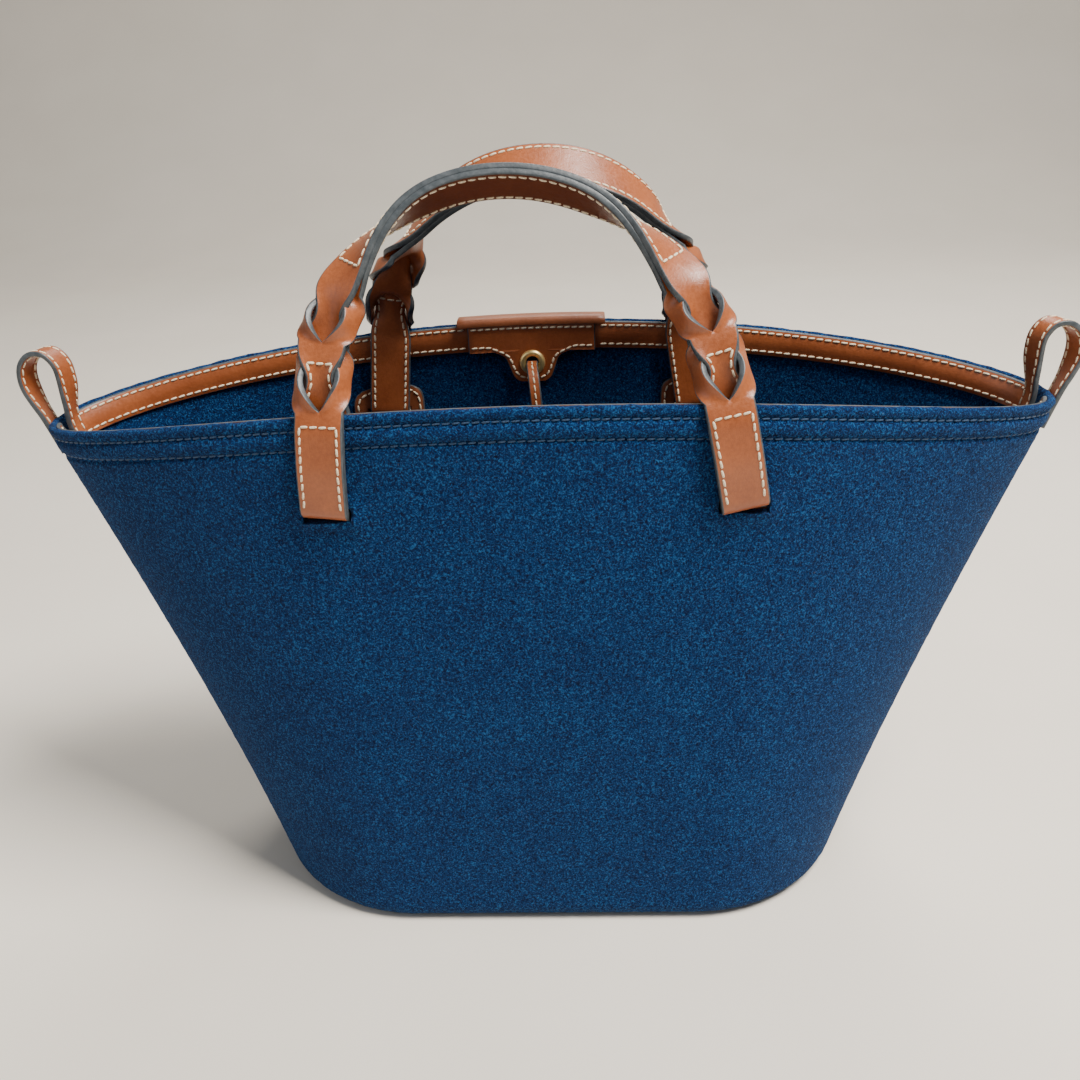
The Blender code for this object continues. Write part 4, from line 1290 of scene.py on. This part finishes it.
def make_rim_cap(face):
    """The leather cap folded over the middle of the back rim, hiding the top of the tab."""
    route = cap_route(face)
    shares = [-1.0, *(0.985 * (2 * step / CAP_COLUMNS - 1) for step in range(CAP_COLUMNS + 1)), 1.0]
    near, far = [], []
    for k, (inset, up) in enumerate(route):
        before, after = route[max(k - 1, 0)], route[min(k + 1, len(route) - 1)]
        run, climb = after[0] - before[0], after[1] - before[1]
        size = math.hypot(run, climb)
        normal = (climb / size, -run / size)
        edge_row = k in (0, len(route) - 1)
        near_row, far_row = [], []
        for share in shares:
            x = CAP_HALF * share - CLOSURE_X
            soft = EDGE_ROUND if edge_row or abs(share) == 1 else 0.0
            below = min(rim_z(x) + up, rim_z(x) - 0.1 * MM)  # the wall's surface ends at the rim
            base = wall_point(x, below, inset + normal[0] * CAP_THICK)
            near_row.append(Vector((x, base.y, rim_z(x) + up + normal[1] * CAP_THICK)))
            base = wall_point(x, below, inset + normal[0] * soft)
            far_row.append(Vector((x, base.y, rim_z(x) + up + normal[1] * soft)))
        near.append(near_row)
        far.append(far_row)
    made = thick_grid(bmesh.new(), near, far, painted=False)
    # The cap takes the darker leather as painted shade, for its face turned from the light.
    cap = turned(add_piece("rim_cap_leather", made, [LINING_AND_SHADE], sharp=50), True)
    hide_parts("rim_cap")
    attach(cap, "bag")


def smooth_path(points, steps):
    """Points on a Catmull-Rom curve through the given points, steps to each stretch."""
    points = [Vector(p) for p in points]
    padded = [2 * points[0] - points[1], *points, 2 * points[-1] - points[-2]]
    path = []
    for a, b, c, d in zip(padded, padded[1:], padded[2:], padded[3:]):
        for k in range(steps):
            t = k / steps
            path.append(0.5 * (2 * b + (c - a) * t + (2 * a - 5 * b + 4 * c - d) * t**2
                               + (3 * b - a - 3 * c + d) * t**3))
    return [*path, points[-1]]


def spine_of(points, across):
    """A Spine on a path with one across direction for each point, and its length."""
    steps = [0.0]
    for a, b in zip(points, points[1:]):
        steps.append(steps[-1] + (b - a).length)
    return Spine(steps, [tuple(p) for p in points], across), steps[-1]


CLOSURE_WIDTH = 4.8 * MM
CLOSURE_THICK = 1.8 * MM
CLOSURE_START = 1.4 * MM  # how far in front of the tab its line starts
FINE_THREAD = 0.36 * MM  # the thread's radius on the narrow straps
# The hanging strap's line from the eyelet: sideways, forward and down.
CLOSURE_LINE = (
    (0.0000, 0.0000, 0.0000), (0.0000, 0.0040, 0.0004), (0.0006, 0.0085, 0.0030), (0.0012, 0.0110, 0.0085),
    (0.0016, 0.0112, 0.0160), (0.0018, 0.0102, 0.0300), (0.0020, 0.0094, 0.0480), (0.0018, 0.0092, 0.0680),
    (0.0016, 0.0092, 0.0880),
)


def closure_route():
    """The hanging strap's route: out of the eyelet, over in a round bend, and down."""
    start = -wall_point(-CLOSURE_X, EYELET_Z, FELT + 2 * GAP + 2 * FACING).y - CLOSURE_START
    return [(CLOSURE_X + x, start - forward, EYELET_Z - down) for x, forward, down in CLOSURE_LINE]


def make_closure_strap():
    """The thin strap that hangs from the eyelet, with one row of stitches and a knotted end."""
    path = smooth_path(closure_route(), 10)
    spine, length = spine_of(path, [(-1, 0, 0)] * len(path))
    strap = Strap(spine, CLOSURE_WIDTH, lambda s: CLOSURE_THICK)
    made = strap.mesh(bmesh.new(), list(graded([0, length], MM)))
    cord = add_piece("closure_cord_strap", made, [LEATHER, EDGE], sharp=50)
    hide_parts("closure_strap")
    thread = bmesh.new()
    for face in (-1, 1):
        line = [strap.surface(s, 1, CLOSURE_WIDTH / 2, face) for s in graded([MM, length - MM], MM)]
        sew_along(thread, line, radius=FINE_THREAD)
    stitches = add_thread("closure_cord_stitches", thread)
    knot = make_knot()
    for piece in (cord, stitches, knot):
        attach(piece, "closure_cord")


KNOT_SIZE = 0.225  # the trefoil's scale for half the knot's width
KNOT_TURNS, KNOT_SIDES = 90, 12
KNOT_ACROSS, KNOT_THROUGH = 1.9 * MM, 1.15 * MM  # half the strap's width and thickness in the knot
KNOT_EDGES = (0, 5, 6, 11)  # the places round a ring that are the strap's cut edges


def make_knot():
    """The strap's end, tied in a small round knot: a flattened strap along a trefoil."""
    lows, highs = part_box("closure_knot")
    centre = (lows + highs) / 2
    size = (highs.x - lows.x) / 2
    loop = []
    for k in range(KNOT_TURNS):
        t = 2 * math.pi * k / KNOT_TURNS
        trefoil = (math.sin(t) + 2 * math.sin(2 * t), -math.sin(3 * t), math.cos(t) - 2 * math.cos(2 * t))
        loop.append(centre + Vector(trefoil) * (size * KNOT_SIZE))
    made = bmesh.new()
    rings = []
    for k, point in enumerate(loop):
        along = (loop[(k + 1) % KNOT_TURNS] - loop[k - 1]).normalized()
        out = (point - centre).normalized()
        across = along.cross(out).normalized()
        out = across.cross(along).normalized()
        ring = []
        for j in range(KNOT_SIDES):
            a = 2 * math.pi * j / KNOT_SIDES
            aside = across * (KNOT_ACROSS * math.cos(a))
            ring.append(made.verts.new(point + aside + out * (KNOT_THROUGH * math.sin(a))))
        rings.append(ring)
    join_rings(made, zip(rings, rings[1:] + rings[:1]), KNOT_EDGES)
    knot = add_piece("closure_cord_knot", made, [LEATHER, EDGE], sharp=60, merge=0)
    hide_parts("closure_knot")
    return knot


# ---- side loops --------------------------------------------------------------------------------

LOOP_WIDTH = 8.5 * MM
LOOP_THICK = 2.0 * MM
LOOP_TURN = math.radians(24)  # how far the free part of a loop has turned round to the front
LOOP_TURN_FROM = (200 * MM, 214 * MM)  # the heights where that turn starts and is complete
LOOP_MARGIN = 1.5 * MM  # from its edges to its stitches
# A loop's middle line as (outwards, up) points, from its end outside the wall to its end inside.
LOOP_ROUTE = ((0.1868, 0.1860), (0.1911, 0.1985), (0.1940, 0.2065), (0.1957, 0.2140), (0.1947, 0.2205),
              (0.1905, 0.2249), (0.1852, 0.2250), (0.1816, 0.2208), (0.1808, 0.2140), (0.1814, 0.2060),
              (0.1820, 0.1985), (0.1800, 0.1900), (0.1762, 0.1780))


def make_side_loop(side, sign):
    """A flat strap bent into a loop over one end of the rim, sewn along both edges of both faces."""
    path = smooth_path([(sign * x, 0, z) for x, z in LOOP_ROUTE], 6)
    turns = [LOOP_TURN * float(smooth_step(*LOOP_TURN_FROM, point.z)) for point in path]
    spine, length = spine_of(path, [(-math.sin(a), sign * math.cos(a), 0) for a in turns])
    strap = Strap(spine, LOOP_WIDTH, lambda s: LOOP_THICK)
    made = strap.mesh(bmesh.new(), list(graded([0, length], MM)))
    loop = add_piece(f"{side}_loop_strap", made, [LEATHER, EDGE], sharp=50)
    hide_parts(f"side_loop_{side}")
    thread = bmesh.new()
    for face in (-1, 1):
        for edge_side in (-1, 1):
            places = graded([2 * MM, length - 2 * MM], MM)
            line = [strap.surface(s, edge_side, LOOP_MARGIN, face) for s in places]
            sew_along(thread, line, radius=FINE_THREAD)
    stitches = add_thread(f"{side}_loop_stitches", thread)
    for piece in (loop, stitches):
        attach(piece, "bag")


# ---- the room ----------------------------------------------------------------------------------

CAMERA_AT = (0.0166, -0.3905, 0.3336)
CAMERA_PITCH, CAMERA_ROLL, CAMERA_YAW = (math.radians(a) for a in (26.126, -2.512, 2.884))


def make_camera():
    """A phone-like camera close in front, looking down at the bag."""
    data = bpy.data.cameras.new("camera")
    data.sensor_width = data.lens = 36
    data.clip_start = 0.01
    pitch, roll, yaw = CAMERA_PITCH, CAMERA_ROLL, CAMERA_YAW
    ahead = Vector((-math.sin(yaw) * math.cos(pitch), math.cos(yaw) * math.cos(pitch), -math.sin(pitch)))
    level = Vector((math.cos(yaw), math.sin(yaw), 0))
    upright = level.cross(ahead)
    right = level * math.cos(roll) + upright * math.sin(roll)
    up = upright * math.cos(roll) - level * math.sin(roll)
    made = bpy.data.objects.new("camera", data)
    made.matrix_world = Matrix.Translation(CAMERA_AT) @ Matrix((right, up, -ahead)).transposed().to_4x4()
    bpy.context.scene.collection.objects.link(made)
    bpy.context.scene.camera = made


def add_light(name, place, target, size, power, colour):
    """A soft rectangular light at a place, turned to a target."""
    data = bpy.data.lights.new(name, "AREA")
    data.shape = "RECTANGLE"
    data.size, data.size_y = size
    data.energy = power
    data.color = colour
    made = bpy.data.objects.new(name, data)
    made.location = place
    made.rotation_mode = "QUATERNION"
    made.rotation_quaternion = (Vector(target) - Vector(place)).to_track_quat("-Z", "Y")
    bpy.context.scene.collection.objects.link(made)


FLOOR_NEAR, FLOOR_BEND, FLOOR_CURVE, FLOOR_TOP = -3.0, 1.2, 0.8, 3.5
FLOOR_HALF_WIDTH = 3.5
FLOOR_DROP = 0.2 * MM  # so that the bag's base stands clear of it


def make_room():
    """A plain pale floor that curves up behind, under soft studio light."""
    made = bmesh.new()
    rows = []
    profile = [(FLOOR_NEAR, 0), (FLOOR_BEND, 0)]
    for turn in (math.radians(a) for a in range(10, 91, 10)):
        back = FLOOR_BEND + FLOOR_CURVE * math.sin(turn)
        profile.append((back, FLOOR_CURVE - FLOOR_CURVE * math.cos(turn)))
    profile.append((FLOOR_BEND + FLOOR_CURVE, FLOOR_TOP))
    for x in (-FLOOR_HALF_WIDTH, FLOOR_HALF_WIDTH):
        rows.append([made.verts.new((x, y, z - FLOOR_DROP)) for y, z in profile])
    for k in range(len(profile) - 1):
        made.faces.new((rows[0][k], rows[1][k], rows[1][k + 1], rows[0][k + 1]))
    floor = add_piece("floor", made, [floor_material()], sharp=60)
    world = bpy.data.worlds.new("studio")
    world.use_nodes = True
    world.node_tree.nodes["Background"].inputs["Color"].default_value = (0.92, 0.95, 1.0, 1)
    world.node_tree.nodes["Background"].inputs["Strength"].default_value = 0.22
    bpy.context.scene.world = world
    add_light("key", (0.60, -0.30, 1.40), (0, 0, 0.12), (0.6, 0.6), 48, (1.0, 0.96, 0.90))
    add_light("window", (-1.1, -0.6, 0.8), (0, 0, 0.12), (0.9, 0.9), 3, (0.86, 0.93, 1.0))
    add_light("back", (0.2, 0.9, 1.2), (0, 0, 0.2), (0.8, 0.5), 10, (1.0, 0.97, 0.92))


make_camera()
make_room()
make_base()
for half, back in (("front", False), ("back", True)):
    make_panel(half, back)
    make_facing(half, back)
    make_hem_stitches(half, back)
    make_slot_patches(half, back)
    make_handle(half, back)
tab_face = make_closure_tab()
make_eyelet(tab_face)
make_rim_cap(tab_face)
make_closure_strap()
make_side_loop("left", -1)
make_side_loop("right", 1)
